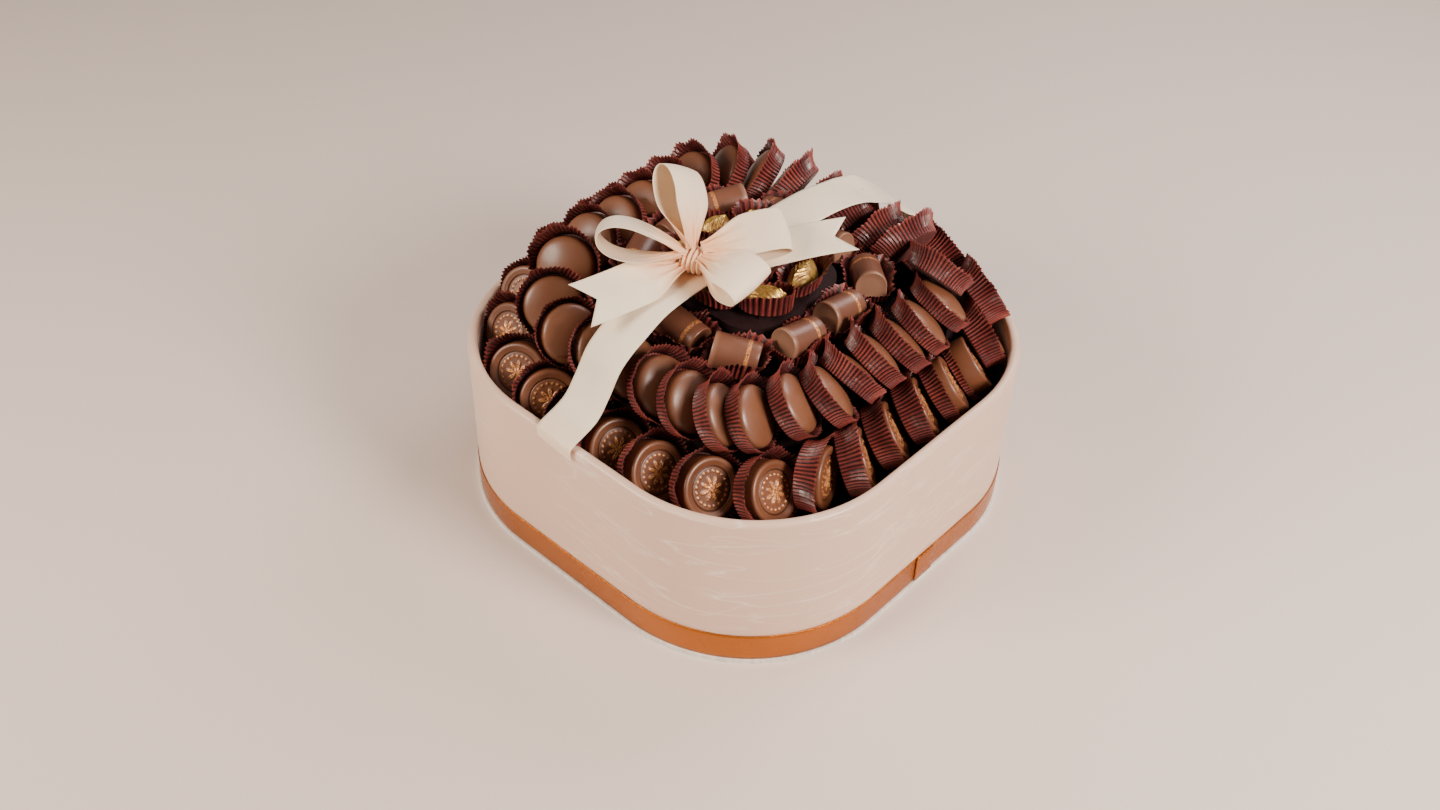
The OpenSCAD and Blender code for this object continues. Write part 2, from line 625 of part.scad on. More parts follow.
module medal_cup_2() {
    color("#6b2a2c") lift_a(1) round_cup(medal_all, medal_cup);
}
module medallion_3() {
    color("#96603f") lift_a(2) medallion();
}
module medal_cup_3() {
    color("#6b2a2c") lift_a(2) round_cup(medal_all, medal_cup);
}
module medallion_4() {
    color("#96603f") lift_a(3) medallion();
}
module medal_cup_4() {
    color("#6b2a2c") lift_a(3) round_cup(medal_all, medal_cup);
}
module dome_1() {
    color("#96603f") lift_b(0) dome();
}
module dome_cup_1() {
    color("#6b2a2c") lift_b(0) round_cup(dome_all, dome_cup);
}
module dome_2() {
    color("#96603f") lift_b(1) dome();
}
module dome_cup_2() {
    color("#6b2a2c") lift_b(1) round_cup(dome_all, dome_cup);
}
module dome_3() {
    color("#96603f") lift_b(2) dome();
}
module dome_cup_3() {
    color("#6b2a2c") lift_b(2) round_cup(dome_all, dome_cup);
}
module dome_4() {
    color("#96603f") lift_b(3) dome();
}
module dome_cup_4() {
    color("#6b2a2c") lift_b(3) round_cup(dome_all, dome_cup);
}
module dome_5() {
    color("#96603f") lift_b(4) dome();
}
module dome_cup_5() {
    color("#6b2a2c") lift_b(4) round_cup(dome_all, dome_cup);
}
module log_1() {
    color("#9a6a4a") lift_c(0) log_piece();
}
module log_cup_1() {
    color("#6b2a2c") lift_c(0) log_cup_piece();
}
module log_2() {
    color("#9a6a4a") lift_c(1) log_piece();
}
module log_cup_2() {
    color("#6b2a2c") lift_c(1) log_cup_piece();
}
module log_3() {
    color("#9a6a4a") lift_c(2) log_piece();
}
module log_cup_3() {
    color("#6b2a2c") lift_c(2) log_cup_piece();
}
module leaf_1() {
    color("#b98a35") lift_d(0) leaf_piece();
}
module leaf_cup_1() {
    color("#6b2a2c") lift_d(0) leaf_cup_piece();
}
module leaf_2() {
    color("#b98a35") lift_d(1) leaf_piece();
}
module leaf_cup_2() {
    color("#6b2a2c") lift_d(1) leaf_cup_piece();
}

base_board();
wall_board();
wall_wrap();
wall_lining();
foot_band();
band_lap();
riser_outer();
riser_middle();
riser_inner();
riser_crown();
seats();
strap();
knot();
loop_up();
loop_left();
loop_right();
loop_back();
tail_front();
tail_back();
medallions_front();
medallions_back();
medal_cups_front();
medal_cups_back();
domes_front();
domes_back();
dome_cups_front();
dome_cups_back();
logs();
log_cups();
leaves();
leaf_cups();
medallion_1();
medal_cup_1();
medallion_2();
medal_cup_2();
medallion_3();
medal_cup_3();
medallion_4();
medal_cup_4();
dome_1();
dome_cup_1();
dome_2();
dome_cup_2();
dome_3();
dome_cup_3();
dome_4();
dome_cup_4();
dome_5();
dome_cup_5();
log_1();
log_cup_1();
log_2();
log_cup_2();
log_3();
log_cup_3();
leaf_1();
leaf_cup_1();
leaf_2();
leaf_cup_2();
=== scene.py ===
"""Chocolate tray: the looks of the box, the ribbons and the chocolates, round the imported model."""
import math

import bmesh
import bpy
import numpy as np
from mathutils import Matrix, Vector, noise


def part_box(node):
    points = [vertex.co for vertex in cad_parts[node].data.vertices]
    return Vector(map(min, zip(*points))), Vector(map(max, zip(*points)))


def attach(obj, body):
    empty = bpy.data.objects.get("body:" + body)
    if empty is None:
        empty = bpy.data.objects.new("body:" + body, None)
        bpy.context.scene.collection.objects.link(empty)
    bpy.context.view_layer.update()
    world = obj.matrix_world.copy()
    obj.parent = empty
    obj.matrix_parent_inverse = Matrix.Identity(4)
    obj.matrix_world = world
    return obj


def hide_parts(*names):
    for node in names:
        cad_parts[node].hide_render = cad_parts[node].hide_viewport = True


MM = 0.001

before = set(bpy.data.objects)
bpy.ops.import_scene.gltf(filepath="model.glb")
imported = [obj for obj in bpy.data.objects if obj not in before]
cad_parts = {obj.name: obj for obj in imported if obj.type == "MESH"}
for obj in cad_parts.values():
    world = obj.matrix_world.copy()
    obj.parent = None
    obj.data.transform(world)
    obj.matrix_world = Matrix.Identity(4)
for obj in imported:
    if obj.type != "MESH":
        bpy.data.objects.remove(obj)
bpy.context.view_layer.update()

# Camera, in millimetres and radians, fitted to the photograph
EYE = (398.57, -469.03, 579.42)
YAW, ELEVATION, ROLL = 0.72319, 0.71874, 0.03362
LENS = 37.92
SENSOR = 36.0

# Sizes shared with the construction, in millimetres
HALF, CORNER, BOX_H = 125.0, 84.0, 94.0
FOOT_Z, WALL_IN = 2.8, 4.9
BAND_H, LAP_L = 16.5, 14.0
GAP, PAPER, PLEAT = 0.3, 0.4, 0.7
FLOOR_T = PAPER + GAP
PRALINE_R = 15.2
CUP_R = PRALINE_R + GAP + PAPER + PLEAT
MEDAL_T, DOME_SIDE, DOME_H = 12.0, 7.6, 3.8
LOG_L, LOG_W, LOG_H = 23.0, 16.4, 15.5
LEAF_L, LEAF_W, LEAF_H = 24.0, 14.0, 11.0
MEDAL_ALL, DOME_ALL = FLOOR_T + MEDAL_T, FLOOR_T + DOME_SIDE + DOME_H
LOG_ALL, LEAF_ALL = FLOOR_T + LOG_H, FLOOR_T + LEAF_H
LEAN, LOG_LEAN = math.radians(30), math.radians(10)
LAG = 45.0
RIBBON_W, NOTCH = 25.0, 9.0
STRAP_RISE, STRAP_SKEW, STRAP_DROP = 12.5, math.atan(16 / 250), 5.0
STRAP_HALF_T = 0.25
KNOT_Y, KNOT_R, KNOT_H, PUFF = 37.0, 6.5, 12.0, 17.0
ROOT = KNOT_R + GAP

# Thickness drawn for the thin layers, in millimetres
SKIN_T, LINING_T, RIBBON_T = 0.3, 0.2, 0.24

# Rows: half width and corner radius of the row's line, height of a piece's middle at the front,
# and for each piece its share of the way round, share of the cup's radius further out, share of
# the cup's width higher, share of the full lag behind the row's turn and, in the two rows of
# round pieces, share of the lean
ROWS = {
    "a": (102.0, 83.0, 84.0, (
        (.011, 0, -.03, .33, 1), (.049, .06, 0, .33, 1), (.089, 0, 0, .84, 1),
        (.132, 0, 0, 1, 1), (.1695, -.15, .07, .97, .3), (.2032, -.13, .08, .82, .66),
        (.2398, -.24, .09, .96, .95), (.2734, -.2, .15, .91, .99), (.3081, -.04, .16, 1.15, 1.11),
        (.3459, .35, .02, 1.5, 1.12), (.3698, .73, .22, 1.6, .99), (.3933, .88, .64, 1.77, 1.05),
        (.4362, .66, .72, 2.15, 1.14), (.4716, .24, .55, 2.4, 1.28), (.514, 0, .48, 0, 1),
        (.549, 0, .54, 0, 1), (.585, 0, .66, 0, 1), (.621, .2, .66, 0, 1), (.655, .4, .66, 0, 1),
        (.689, .2, .66, 0, 1), (.725, .04, .66, 0, 1), (.76, 0, .63, 0, 1),
        (.797, .12, .51, .1, 1), (.833, .42, .3, .33, 1), (.867, .55, .12, .9, 1),
        (.904, .4, 0, .73, 1), (.94, 0, 0, .55, 1), (.974, 0, 0, .4, 1))),
    "b": (79.0, 50.0, 113.0, (
        (-.004, 0, 0, 0, 1), (.031, 0, 0, 0, 1), (.063, -.06, 0, 0, 1), (.095, 0, 0, 0, 1),
        (.1226, -.08, 0, .42, 1), (.1638, -.28, .04, .68, 1.21), (.2009, -.1, 0, .75, 1.31),
        (.2355, -.19, 0, .25, 1.36), (.2643, -.1, .06, .48, 1.37), (.2986, -.05, .03, .5, 1.43),
        (.3285, .09, .1, .95, 1.46), (.3596, .46, .16, 1.36, 1.58),
        (.3831, .43, .45, 1.22, 1.49), (.433, .12, .45, 0, 1), (.465, 0, .35, 0, 1),
        (.5, -.06, .29, 0, 1), (.535, -.06, .36, 0, 1), (.57, -.06, .48, 0, 1),
        (.604, 0, .51, 0, 1), (.639, .12, .51, 0, 1), (.674, .06, .51, 0, 1),
        (.709, -.06, .48, 0, 1), (.743, -.06, .48, 0, 1), (.778, -.06, .46, 0, 1),
        (.813, 0, .4, 0, 1), (.848, .18, .3, 0, 1), (.885, .4, .03, 0, 1),
        (.921, .24, -.04, 0, 1), (.958, 0, -.03, .1, 1))),
    "c": (51.0, 36.0, 125.0, (
        (.012, 0, 0, 0), (.101, .1, 0, 0), (.2, -.12, 0, 0), (.288, -.1, 0, 0), (.378, .22, .03, 0),
        (.468, -.1, .12, 0), (.555, -.08, .2, 0), (.651, .05, .24, 0), (.741, -.1, .24, 0),
        (.831, -.04, .18, 0), (.926, .08, .06, 0))),
    "d": (28.0, 22.0, 138.0, (
        (.02, .06, 0, 0), (.16, .12, 0, .5), (.3, 0, 0, 0), (.44, .06, .03, 0), (.58, .06, .06, 0),
        (.72, 0, .06, 0), (.86, .06, .06, 0), (.25, -1.15, .06, 0), (.75, -1.15, .06, 0))),
}
LOOSE = {"a": (15, 18, 21, 23), "b": (4, 8, 11, 18, 25), "c": (2, 4, 8), "d": (1, 5)}
# The numbers in each row that a grouped node holds, apart from the loose ones
GROUPS = {
    "a": (("medallions_front", "medal_cups_front", [*range(6), *range(23, 28)]),
          ("medallions_back", "medal_cups_back", [*range(6, 23)])),
    "b": (("domes_front", "dome_cups_front", [*range(12), *range(25, 29)]),
          ("domes_back", "dome_cups_back", [*range(12, 25)])),
    "c": (("logs", "log_cups", [*range(11)]),),
    "d": (("leaves", "leaf_cups", [*range(9)]),),
}
# Cups folded down round their chocolate, or pressed close to it: share of the usual mouth
FOLDED = {
    ("a", 8): 0.7, ("a", 9): 0.32, ("a", 23): 0.8, ("a", 27): 0.86,
    ("b", 0): 0.64, ("b", 10): 0.86, ("b", 11): 0.84, ("b", 24): 0.84, ("b", 27): 0.7,
    ("b", 28): 0.7, ("c", 2): 0.2, ("d", 1): 0.25, ("d", 5): 0.1,
}


# ---------------------------------------------------------------- places
def way(half, turn, share):
    """Point and heading, in degrees, at a share of the way round a rounded square."""
    straight = 2 * (half - turn)
    side = straight + math.pi * turn / 2
    along = share * 4 * side + half - turn
    corner, t = divmod(along, side)
    a = max(0.0, t - straight) / turn
    x = min(t, straight) - (half - turn) + turn * math.sin(a)
    y = -(half - turn) - turn * math.cos(a)
    q = math.radians(90 * corner)
    return (x * math.cos(q) - y * math.sin(q), x * math.sin(q) + y * math.cos(q),
            90 * corner + math.degrees(a))


def place(row, number):
    """Matrix that puts a piece, built round its own middle, at its place in the row."""
    half, turn, mid, spots = ROWS[row]
    share, out, rise, lag, *lean_share = spots[number]
    lean = LEAN * lean_share[0] if lean_share else LEAN
    x, y, heading = way(half, turn, share)
    h = math.radians(heading)
    at = Vector((x + out * CUP_R * math.sin(h), y - out * CUP_R * math.cos(h),
                 mid + rise * 2 * CUP_R))
    tilt = {"a": math.pi / 2 - lean, "b": math.pi / 2 - lean, "c": LOG_LEAN, "d": 0.0}[row]
    return (Matrix.Translation(at) @ Matrix.Rotation(math.radians(heading - lag * LAG), 4, "Z")
            @ Matrix.Rotation(tilt, 4, "Y"))


# ---------------------------------------------------------------- meshes
class Shape:
    """Points in millimetres, faces, and named marks with one value for each point."""

    def __init__(self, points, faces, **marks):
        self.points = np.asarray(points, float)
        self.faces = faces
        self.marks = {name: np.broadcast_to(np.asarray(values, float), len(self.points))
                      for name, values in marks.items()}

    def moved(self, matrix):
        m = np.array(matrix)
        return Shape(self.points @ m[:3, :3].T + m[:3, 3], self.faces, **self.marks)


def joined(shapes):
    points, faces, first = [], [], 0
    for s in shapes:
        points.append(s.points)
        faces += [tuple(i + first for i in f) for f in s.faces]
        first += len(s.points)
    marks = {name: np.concatenate([s.marks[name] for s in shapes]) for name in shapes[0].marks}
    return Shape(np.concatenate(points), faces, **marks)


def grid(rows, cols, closed=True, first=0):
    """Faces between rows of points; closed rows run round on themselves."""
    i = np.arange(rows - 1)[:, None] * cols
    j = np.arange(cols if closed else cols - 1)[None, :]
    k = (j + 1) % cols
    quads = np.stack([i + j, i + k, i + cols + k, i + cols + j], -1).reshape(-1, 4) + first
    return [tuple(q) for q in quads.tolist()]


def fan(middle, first, cols):
    """Triangles from a middle point to a closed row of points."""
    return [(middle, first + j, first + (j + 1) % cols) for j in range(cols)]


def capped(rings, cols, last):
    """Faces of a first middle point, closed rings and a last middle point, in that order."""
    return (grid(rings, cols, first=1) + fan(0, 1, cols)
            + fan(last, 1 + (rings - 1) * cols, cols))


def piece(node, shape, material, body="tray", thickness=0.0, smooth=True):
    """The visible object of a CAD node: it rides on the node's body and stands for the node."""
    name = node + "_looks"
    mesh = bpy.data.meshes.new(name)
    mesh.from_pydata((shape.points * MM).tolist(), [], shape.faces)
    for mark, values in shape.marks.items():
        layer = mesh.attributes.new(mark, "FLOAT", "POINT")
        layer.data.foreach_set("value", values.astype(np.float32))
    bm = bmesh.new()
    bm.from_mesh(mesh)
    bmesh.ops.recalc_face_normals(bm, faces=bm.faces)
    bm.to_mesh(mesh)
    bm.free()
    mesh.polygons.foreach_set("use_smooth", [smooth] * len(mesh.polygons))
    mesh.materials.append(material)
    obj = bpy.data.objects.new(name, mesh)
    bpy.context.scene.collection.objects.link(obj)
    if thickness:
        shell = obj.modifiers.new("thickness", "SOLIDIFY")
        shell.thickness = thickness * MM
        shell.offset = 0
    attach(obj, body)
    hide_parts(node)
    return obj


def smoothstep(low, high, x):
    t = np.clip((np.asarray(x, float) - low) / (high - low), 0, 1)
    return t * t * (3 - 2 * t)


# ---------------------------------------------------------------- shader nodes
# Places of the sockets that a Mix node has for colours
MIX_INPUTS, MIX_RESULT = (0, 6, 7), 2


def new_material(name, colour, roughness, metallic=0.0, **sockets):
    """Material with a Principled shader, a function that adds a node to it, and a function that
    links a value to a socket of its shader."""
    material = bpy.data.materials.new(name)
    material.use_nodes = True
    nodes, links = material.node_tree.nodes, material.node_tree.links
    shader = nodes["Principled BSDF"]
    shader.inputs["Base Color"].default_value = (*colour, 1)
    shader.inputs["Roughness"].default_value = roughness
    shader.inputs["Metallic"].default_value = metallic
    for socket, value in sockets.items():
        shader.inputs[socket.replace("_", " ")].default_value = value

    def add(kind, inputs=(), **settings):
        node = nodes.new(kind)
        for setting, value in settings.items():
            setattr(node, setting, value)
        for socket, value in dict(inputs).items():
            feed(node.inputs[socket], value)
        return node

    def wire(value, socket):
        links.new(value, shader.inputs[socket])

    return material, add, wire


def feed(socket, value):
    """Link a value to a socket, or set it there when it is a plain number or colour."""
    if isinstance(value, bpy.types.NodeSocket):
        socket.id_data.links.new(value, socket)
    else:
        socket.default_value = value


def cloud(add, scale, detail, stretch=(1, 1, 1), rough=0.5, distortion=0.0):
    """Noise over the surface, from 0 to 1; scale is in features to a metre."""
    where = add("ShaderNodeTexCoord").outputs["Object"]
    moved = add("ShaderNodeMapping", {"Vector": where, "Scale": stretch}).outputs["Vector"]
    return add("ShaderNodeTexNoise", {"Vector": moved, "Scale": scale, "Detail": detail,
                                      "Roughness": rough, "Distortion": distortion}).outputs["Fac"]


def ramp(add, value, *stops):
    """Colour ramp; each stop is (position, colour), where the colour has three numbers or one."""
    node = add("ShaderNodeValToRGB", {"Fac": value})
    elements = node.color_ramp.elements
    while len(elements) < len(stops):
        elements.new(0.5)
    for element, (position, colour) in zip(elements, stops):
        element.position = position
        element.color = (*(colour if hasattr(colour, "__len__") else (colour,) * 3), 1)
    return node.outputs["Color"]


def mix(add, share, first, second):
    """Colour between two, at a share from the first to the second."""
    node = add("ShaderNodeMix", data_type="RGBA")
    for place_in_node, value in zip(MIX_INPUTS, (share, first, second)):
        feed(node.inputs[place_in_node], (*value, 1) if isinstance(value, tuple) else value)
    return node.outputs[MIX_RESULT]


def maths(add, kind, *values):
    node = add("ShaderNodeMath", operation=kind)
    for i, value in enumerate(values):
        feed(node.inputs[i], value)
    return node.outputs[0]


def times(add, first, second):
    return maths(add, "MULTIPLY", first, second)


def mark_of(add, name):
    """A mark of the mesh, 0 where the mesh doesn't have it."""
    return add("ShaderNodeAttribute", attribute_name=name).outputs["Fac"]


def bump(add, height, distance, strength, normal=None):
    """Bumps of a height in metres, over another normal where one is given."""
    inputs = {"Height": height, "Distance": distance, "Strength": strength}
    if normal is not None:
        inputs["Normal"] = normal
    return add("ShaderNodeBump", inputs).outputs["Normal"]


def toned(colour, share, more=0.0):
    """The colour, darker or paler by a share."""
    return tuple(min(1, c * share + more) for c in colour)


# ---------------------------------------------------------------- materials
def chocolate(name, colour, gilt=False):
    """Milk chocolate: faint cloudy patches and a soft sheen. The marks of the mesh pale an end,
    paint shade into a cut groove and, where asked, gild it in flecks."""
    pale_tone, gilt_tone = (0.34, 0.19, 0.12), (0.80, 0.36, 0.12)
    material, add, wire = new_material(name, colour, 0.4, Specular_IOR_Level=0.5, Coat_Weight=0.3,
                                       Coat_Roughness=0.3, Coat_Tint=(1.0, 0.86, 0.8, 1))
    paint = ramp(add, cloud(add, 45, 4), (0.3, toned(colour, 0.85)), (0.5, colour),
                 (0.72, toned(colour, 1.15, 0.006)))
    paint = mix(add, times(add, mark_of(add, "pale"), 0.55), paint, pale_tone)
    # painted shade: the cut groove darkened nearly to black
    paint = mix(add, times(add, mark_of(add, "groove_shade"), 0.85), paint, toned(colour, 0.12))
    if gilt:
        flecks = ramp(add, cloud(add, 1300, 2), (0.42, 0.0), (0.52, 1.0))
        share = times(add, mark_of(add, "gilt"), flecks)
        paint = mix(add, share, paint, gilt_tone)
        wire(times(add, share, 0.5), "Metallic")
    wire(paint, "Base Color")
    wire(ramp(add, cloud(add, 130, 3), (0.3, 0.36), (0.7, 0.48)), "Roughness")
    fine = bump(add, cloud(add, 900, 2), 0.0002, 0.15)
    wire(bump(add, cloud(add, 90, 2), 0.0006, 0.2, fine), "Normal")
    return material


def gold_dust():
    """Chocolate brushed with gold lustre: metallic on the ridges, brown where the dust is thin."""
    bare_tone, dull_gold, bright_gold = (0.15, 0.055, 0.02), (0.42, 0.22, 0.035), (0.86, 0.60, 0.16)
    material, add, wire = new_material("gold_dusted", (0.6, 0.36, 0.08), 0.32, 0.8,
                                       Specular_IOR_Level=0.5)
    dust = ramp(add, cloud(add, 260, 5, rough=0.65), (0.36, 0.0), (0.56, 1.0))
    share = maths(add, "MAXIMUM", times(add, dust, 0.8), mark_of(add, "gilt"))
    tone = ramp(add, cloud(add, 420, 3), (0.3, dull_gold), (0.7, bright_gold))
    wire(mix(add, share, bare_tone, tone), "Base Color")
    wire(times(add, share, 0.85), "Metallic")
    wire(ramp(add, cloud(add, 600, 3), (0.3, 0.24), (0.7, 0.46)), "Roughness")
    wire(bump(add, cloud(add, 500, 4), 0.0005, 0.5), "Normal")
    return material


def cup_paper():
    """Greaseproof paper pressed into pleats: painted shade makes it near black in the folds, brick
    red on the ridges, and painted light makes it paler along the cut edge."""
    fold_shade_tone, edge_glow_tone = (0.022, 0.002, 0.004), (0.36, 0.09, 0.075)
    deep_red, brick_red = (0.13, 0.018, 0.018), (0.33, 0.066, 0.05)
    material, add, wire = new_material("pleated_paper", (0.2, 0.04, 0.03), 0.42,
                                       Specular_IOR_Level=0.55, Sheen_Weight=0.1,
                                       Sheen_Roughness=0.4, Sheen_Tint=(1.0, 0.62, 0.58, 1))
    ridge = maths(add, "MULTIPLY_ADD", mark_of(add, "ridge"), 0.5, 0.5)
    lit = ramp(add, cloud(add, 70, 3), (0.3, deep_red), (0.7, brick_red))
    # painted shade: the folds darkened to near black, the ridges left lit
    paint = mix(add, ramp(add, ridge, (0.2, 0.0), (0.85, 1.0)), fold_shade_tone, lit)
    # painted light: the cut edge paler, as if lit through the thin paper
    wire(mix(add, times(add, mark_of(add, "edge"), 0.4), paint, edge_glow_tone), "Base Color")
    wire(ramp(add, cloud(add, 300, 2), (0.3, 0.3), (0.7, 0.5)), "Roughness")
    wire(bump(add, cloud(add, 700, 3), 0.0002, 0.4), "Normal")
    return material


def leatherette():
    """Cream leatherette: a few fine creases that run mostly level, over a faint grain."""
    colour, crease_tone = (0.74, 0.515, 0.385), (0.95, 0.83, 0.72)
    material, add, wire = new_material("leatherette", colour, 0.42, Specular_IOR_Level=0.45,
                                       Coat_Weight=0.35, Coat_Roughness=0.2)

    def creases(field, level, full, half):
        """Fine lines where a noise field passes a level."""
        off = maths(add, "ABSOLUTE", maths(add, "SUBTRACT", field, level))
        return ramp(add, off, (0.0, full), (0.006, half), (0.02, 0.0))

    long_ones = creases(cloud(add, 9, 3, stretch=(1, 1, 7), rough=0.42, distortion=0.4),
                        0.5, 1.0, 0.3)
    short_ones = creases(cloud(add, 15, 3, stretch=(1, 1, 6), rough=0.45, distortion=0.6),
                         0.44, 0.7, 0.2)
    worn = ramp(add, cloud(add, 7, 2), (0.42, 0.0), (0.6, 1.0))
    lines = times(add, maths(add, "MAXIMUM", long_ones, short_ones), worn)
    mottle = ramp(add, cloud(add, 9, 2), (0.3, toned(colour, 0.97)), (0.7, toned(colour, 1.03)))
    wire(mix(add, times(add, lines, 0.7), mottle, crease_tone), "Base Color")
    wire(ramp(add, lines, (0.0, 0.44), (1.0, 0.3)), "Roughness")
    grain = bump(add, cloud(add, 1100, 3), 0.0002, 0.2)
    soft = bump(add, cloud(add, 45, 2, stretch=(1, 1, 2)), 0.001, 0.15, grain)
    wire(bump(add, lines, 0.0003, 0.35, soft), "Normal")
    return material


def satin(name, colour, glow=None, metallic=0.0, rough=0.36, sheen=0.3):
    """Satin: fine threads, a woven edge, a soft sheen, and a painted glow of warm light
    in the gathers.
    """
    threads, rows_of_weave = 2600, 120.0
    material, add, wire = new_material(name, colour, rough, metallic, Specular_IOR_Level=0.5,
                                       Sheen_Weight=sheen, Sheen_Roughness=0.35, Anisotropic=0.3)
    paint = ramp(add, cloud(add, 40, 3), (0.3, toned(colour, 0.95)), (0.7, toned(colour, 1.03)))
    if glow:
        # painted light: a warm glow mixed in where the mesh marks it
        paint = mix(add, mark_of(add, "painted_glow"), paint, glow)
    edge = ramp(add, maths(add, "ABSOLUTE", mark_of(add, "across")), (0.93, 0.0), (0.97, 1.0))
    wire(mix(add, times(add, edge, 0.25), paint, toned(colour, 1.1)), "Base Color")
    lengthways = maths(add, "SINE", times(add, mark_of(add, "along"), threads * MM * 2 * math.pi))
    crossways = maths(add, "SINE", times(add, mark_of(add, "across"), rows_of_weave))
    weave = bump(add, times(add, lengthways, crossways), 0.00008, 0.35)
    wire(bump(add, edge, 0.0003, 0.6, weave), "Normal")
    wire(ramp(add, cloud(add, 90, 2), (0.3, rough - 0.05), (0.7, rough + 0.08)), "Roughness")
    return material


def board(name, colour, rough=0.7, scale=500):
    """Card, board or paper: fibres, faint blotches and a dull surface."""
    material, add, wire = new_material(name, colour, rough, Specular_IOR_Level=0.3)
    fibres = cloud(add, scale, 5, stretch=(1, 1, 0.4))
    wire(ramp(add, fibres, (0.3, toned(colour, 0.82)), (0.7, toned(colour, 1.1))), "Base Color")
    wire(ramp(add, cloud(add, 150, 2), (0.3, rough - 0.08), (0.7, rough + 0.1)), "Roughness")
    wire(bump(add, cloud(add, scale * 2, 3), 0.0002, 0.4), "Normal")
    return material


MILK = chocolate("milk_chocolate_skin", (0.185, 0.074, 0.036))
MEDAL = chocolate("medal_chocolate_skin", (0.165, 0.060, 0.026), gilt=True)
LOG = chocolate("log_chocolate_skin", (0.150, 0.060, 0.034), gilt=True)
GOLD = gold_dust()
CUP = cup_paper()
WRAP = leatherette()
# glow: colour of the painted warm light in the ribbon's gathers
SATIN = satin("cream_satin", (0.98, 0.85, 0.65), glow=(0.98, 0.55, 0.29))
COPPER = satin("copper_satin_weave", (0.47, 0.14, 0.015), metallic=0.85, rough=0.22, sheen=0.03)
WHITE_BOARD = board("white_board", (0.84, 0.79, 0.73), 0.55)
GREY_BOARD = board("grey_board_fibre", (0.42, 0.37, 0.31))
# Near-black card: painted shade in the gaps between the rows of cups
SHADED_CARD = board("card_painted_shade", (0.014, 0.004, 0.005))
LINING = board("cream_paper", (0.62, 0.52, 0.44), 0.6, 900)


# ---------------------------------------------------------------- chocolates
# Medallion: radius and height over the base for its side, radius and height from the top for its
# rim and the cut circle within it, and the radii of its flat face
MEDAL_FOOT = ((0, 0), (6, 0), (14.2, 0), (14.9, 0.3), (15.2, 1.2), (15.2, 5))
MEDAL_RIM = ((15.2, -1.6), (15.05, -0.8), (14.7, -0.3), (14.1, -0.05), (13.5, 0), (12.9, -0.06),
             (12.4, -0.25), (11.8, -0.42), (11.2, -0.5), (10.95, -0.62), (10.75, -1.15),
             (10.45, -1.2), (10.25, -0.85), (10.0, -0.7))
MEDAL_FACE_RADII = np.arange(9.7, 0.3, -0.36)
FACE_DROP, BOSS_H = 0.7, 0.45
# Its ornament: a rosette of petals with a vein each, a ring of beads and a boss in the middle
ORNAMENT_R, CUT_R, CUT_HALF = 9.9, 10.6, 0.3
PETAL_R, PETAL_REACH, PETAL_PAIRS = 6.4, 7.4, 4
VEIN_FROM, VEIN_TO = 2.4, 6
BEADS, BEAD_RING_R = 20, 8.3
# Dome: radius and height over the base for its side, and the radii of its crown
DOME_FOOT = ((0, 0), (7, 0), (14, 0), (14.8, 0.3), (15.2, 1.2), (15.2, 4), (15.15, 5.6),
             (15.0, 6.6), (14.65, 7.4))
DOME_SHOULDER_R, DOME_SHOULDER_DROP = 14.1, 0.18
DOME_CROWN_RADII = (13.2, 12, 10.5, 9, 7.5, 6, 4.5, 3, 1.5)
# Log: distance in from its end and share of its section there, the places of the rings between,
# where its gold stripe runs, and how far in its end is pale
LOG_END = ((0.45, 0.0), (0.45, 0.5), (0.4, 0.8), (0.05, 0.9), (0.0, 0.94), (0.2, 0.975),
           (0.7, 1.0))
LOG_RINGS = (-8.5, -6, -3, 0, 3, 4.6, 4.9, 6.5, 6.8, 9.0)
LOG_SIDE = ((0.05, 0.6), (0, 3), (0, 6))
STRIPE_FROM, STRIPE_TO, PALE_END = 4.8, 6.6, 0.8
MEDAL_COLS, DOME_COLS, LEAF_COLS, LEAF_RINGS = 96, 72, 84, 22


def turned(profile, cols, relief):
    """A turned solid from its profile, a list of (radius, height) from the middle of the base to
    that of the top. relief gives how far each point is lifted, its gilt and its painted shade."""
    r, z = np.array(profile, float).T
    a = np.arange(cols) * 2 * math.pi / cols
    rr, aa = np.meshgrid(r[1:-1], a, indexing="ij")
    zz = np.repeat(z[1:-1, None], cols, 1)
    lift, gilt, groove_shade = relief(rr, aa, zz)
    rings = np.stack([rr * np.cos(aa), rr * np.sin(aa), zz + lift], -1).reshape(-1, 3)
    points = np.concatenate([[[0, 0, z[0]]], rings, [[0, 0, z[-1]]]])
    marks = {name: np.concatenate([[v.flat[0]], v.ravel(), [v[-1].mean()]])
             for name, v in (("gilt", gilt), ("groove_shade", groove_shade))}
    return Shape(points, capped(len(r) - 2, cols, len(points) - 1), **marks)


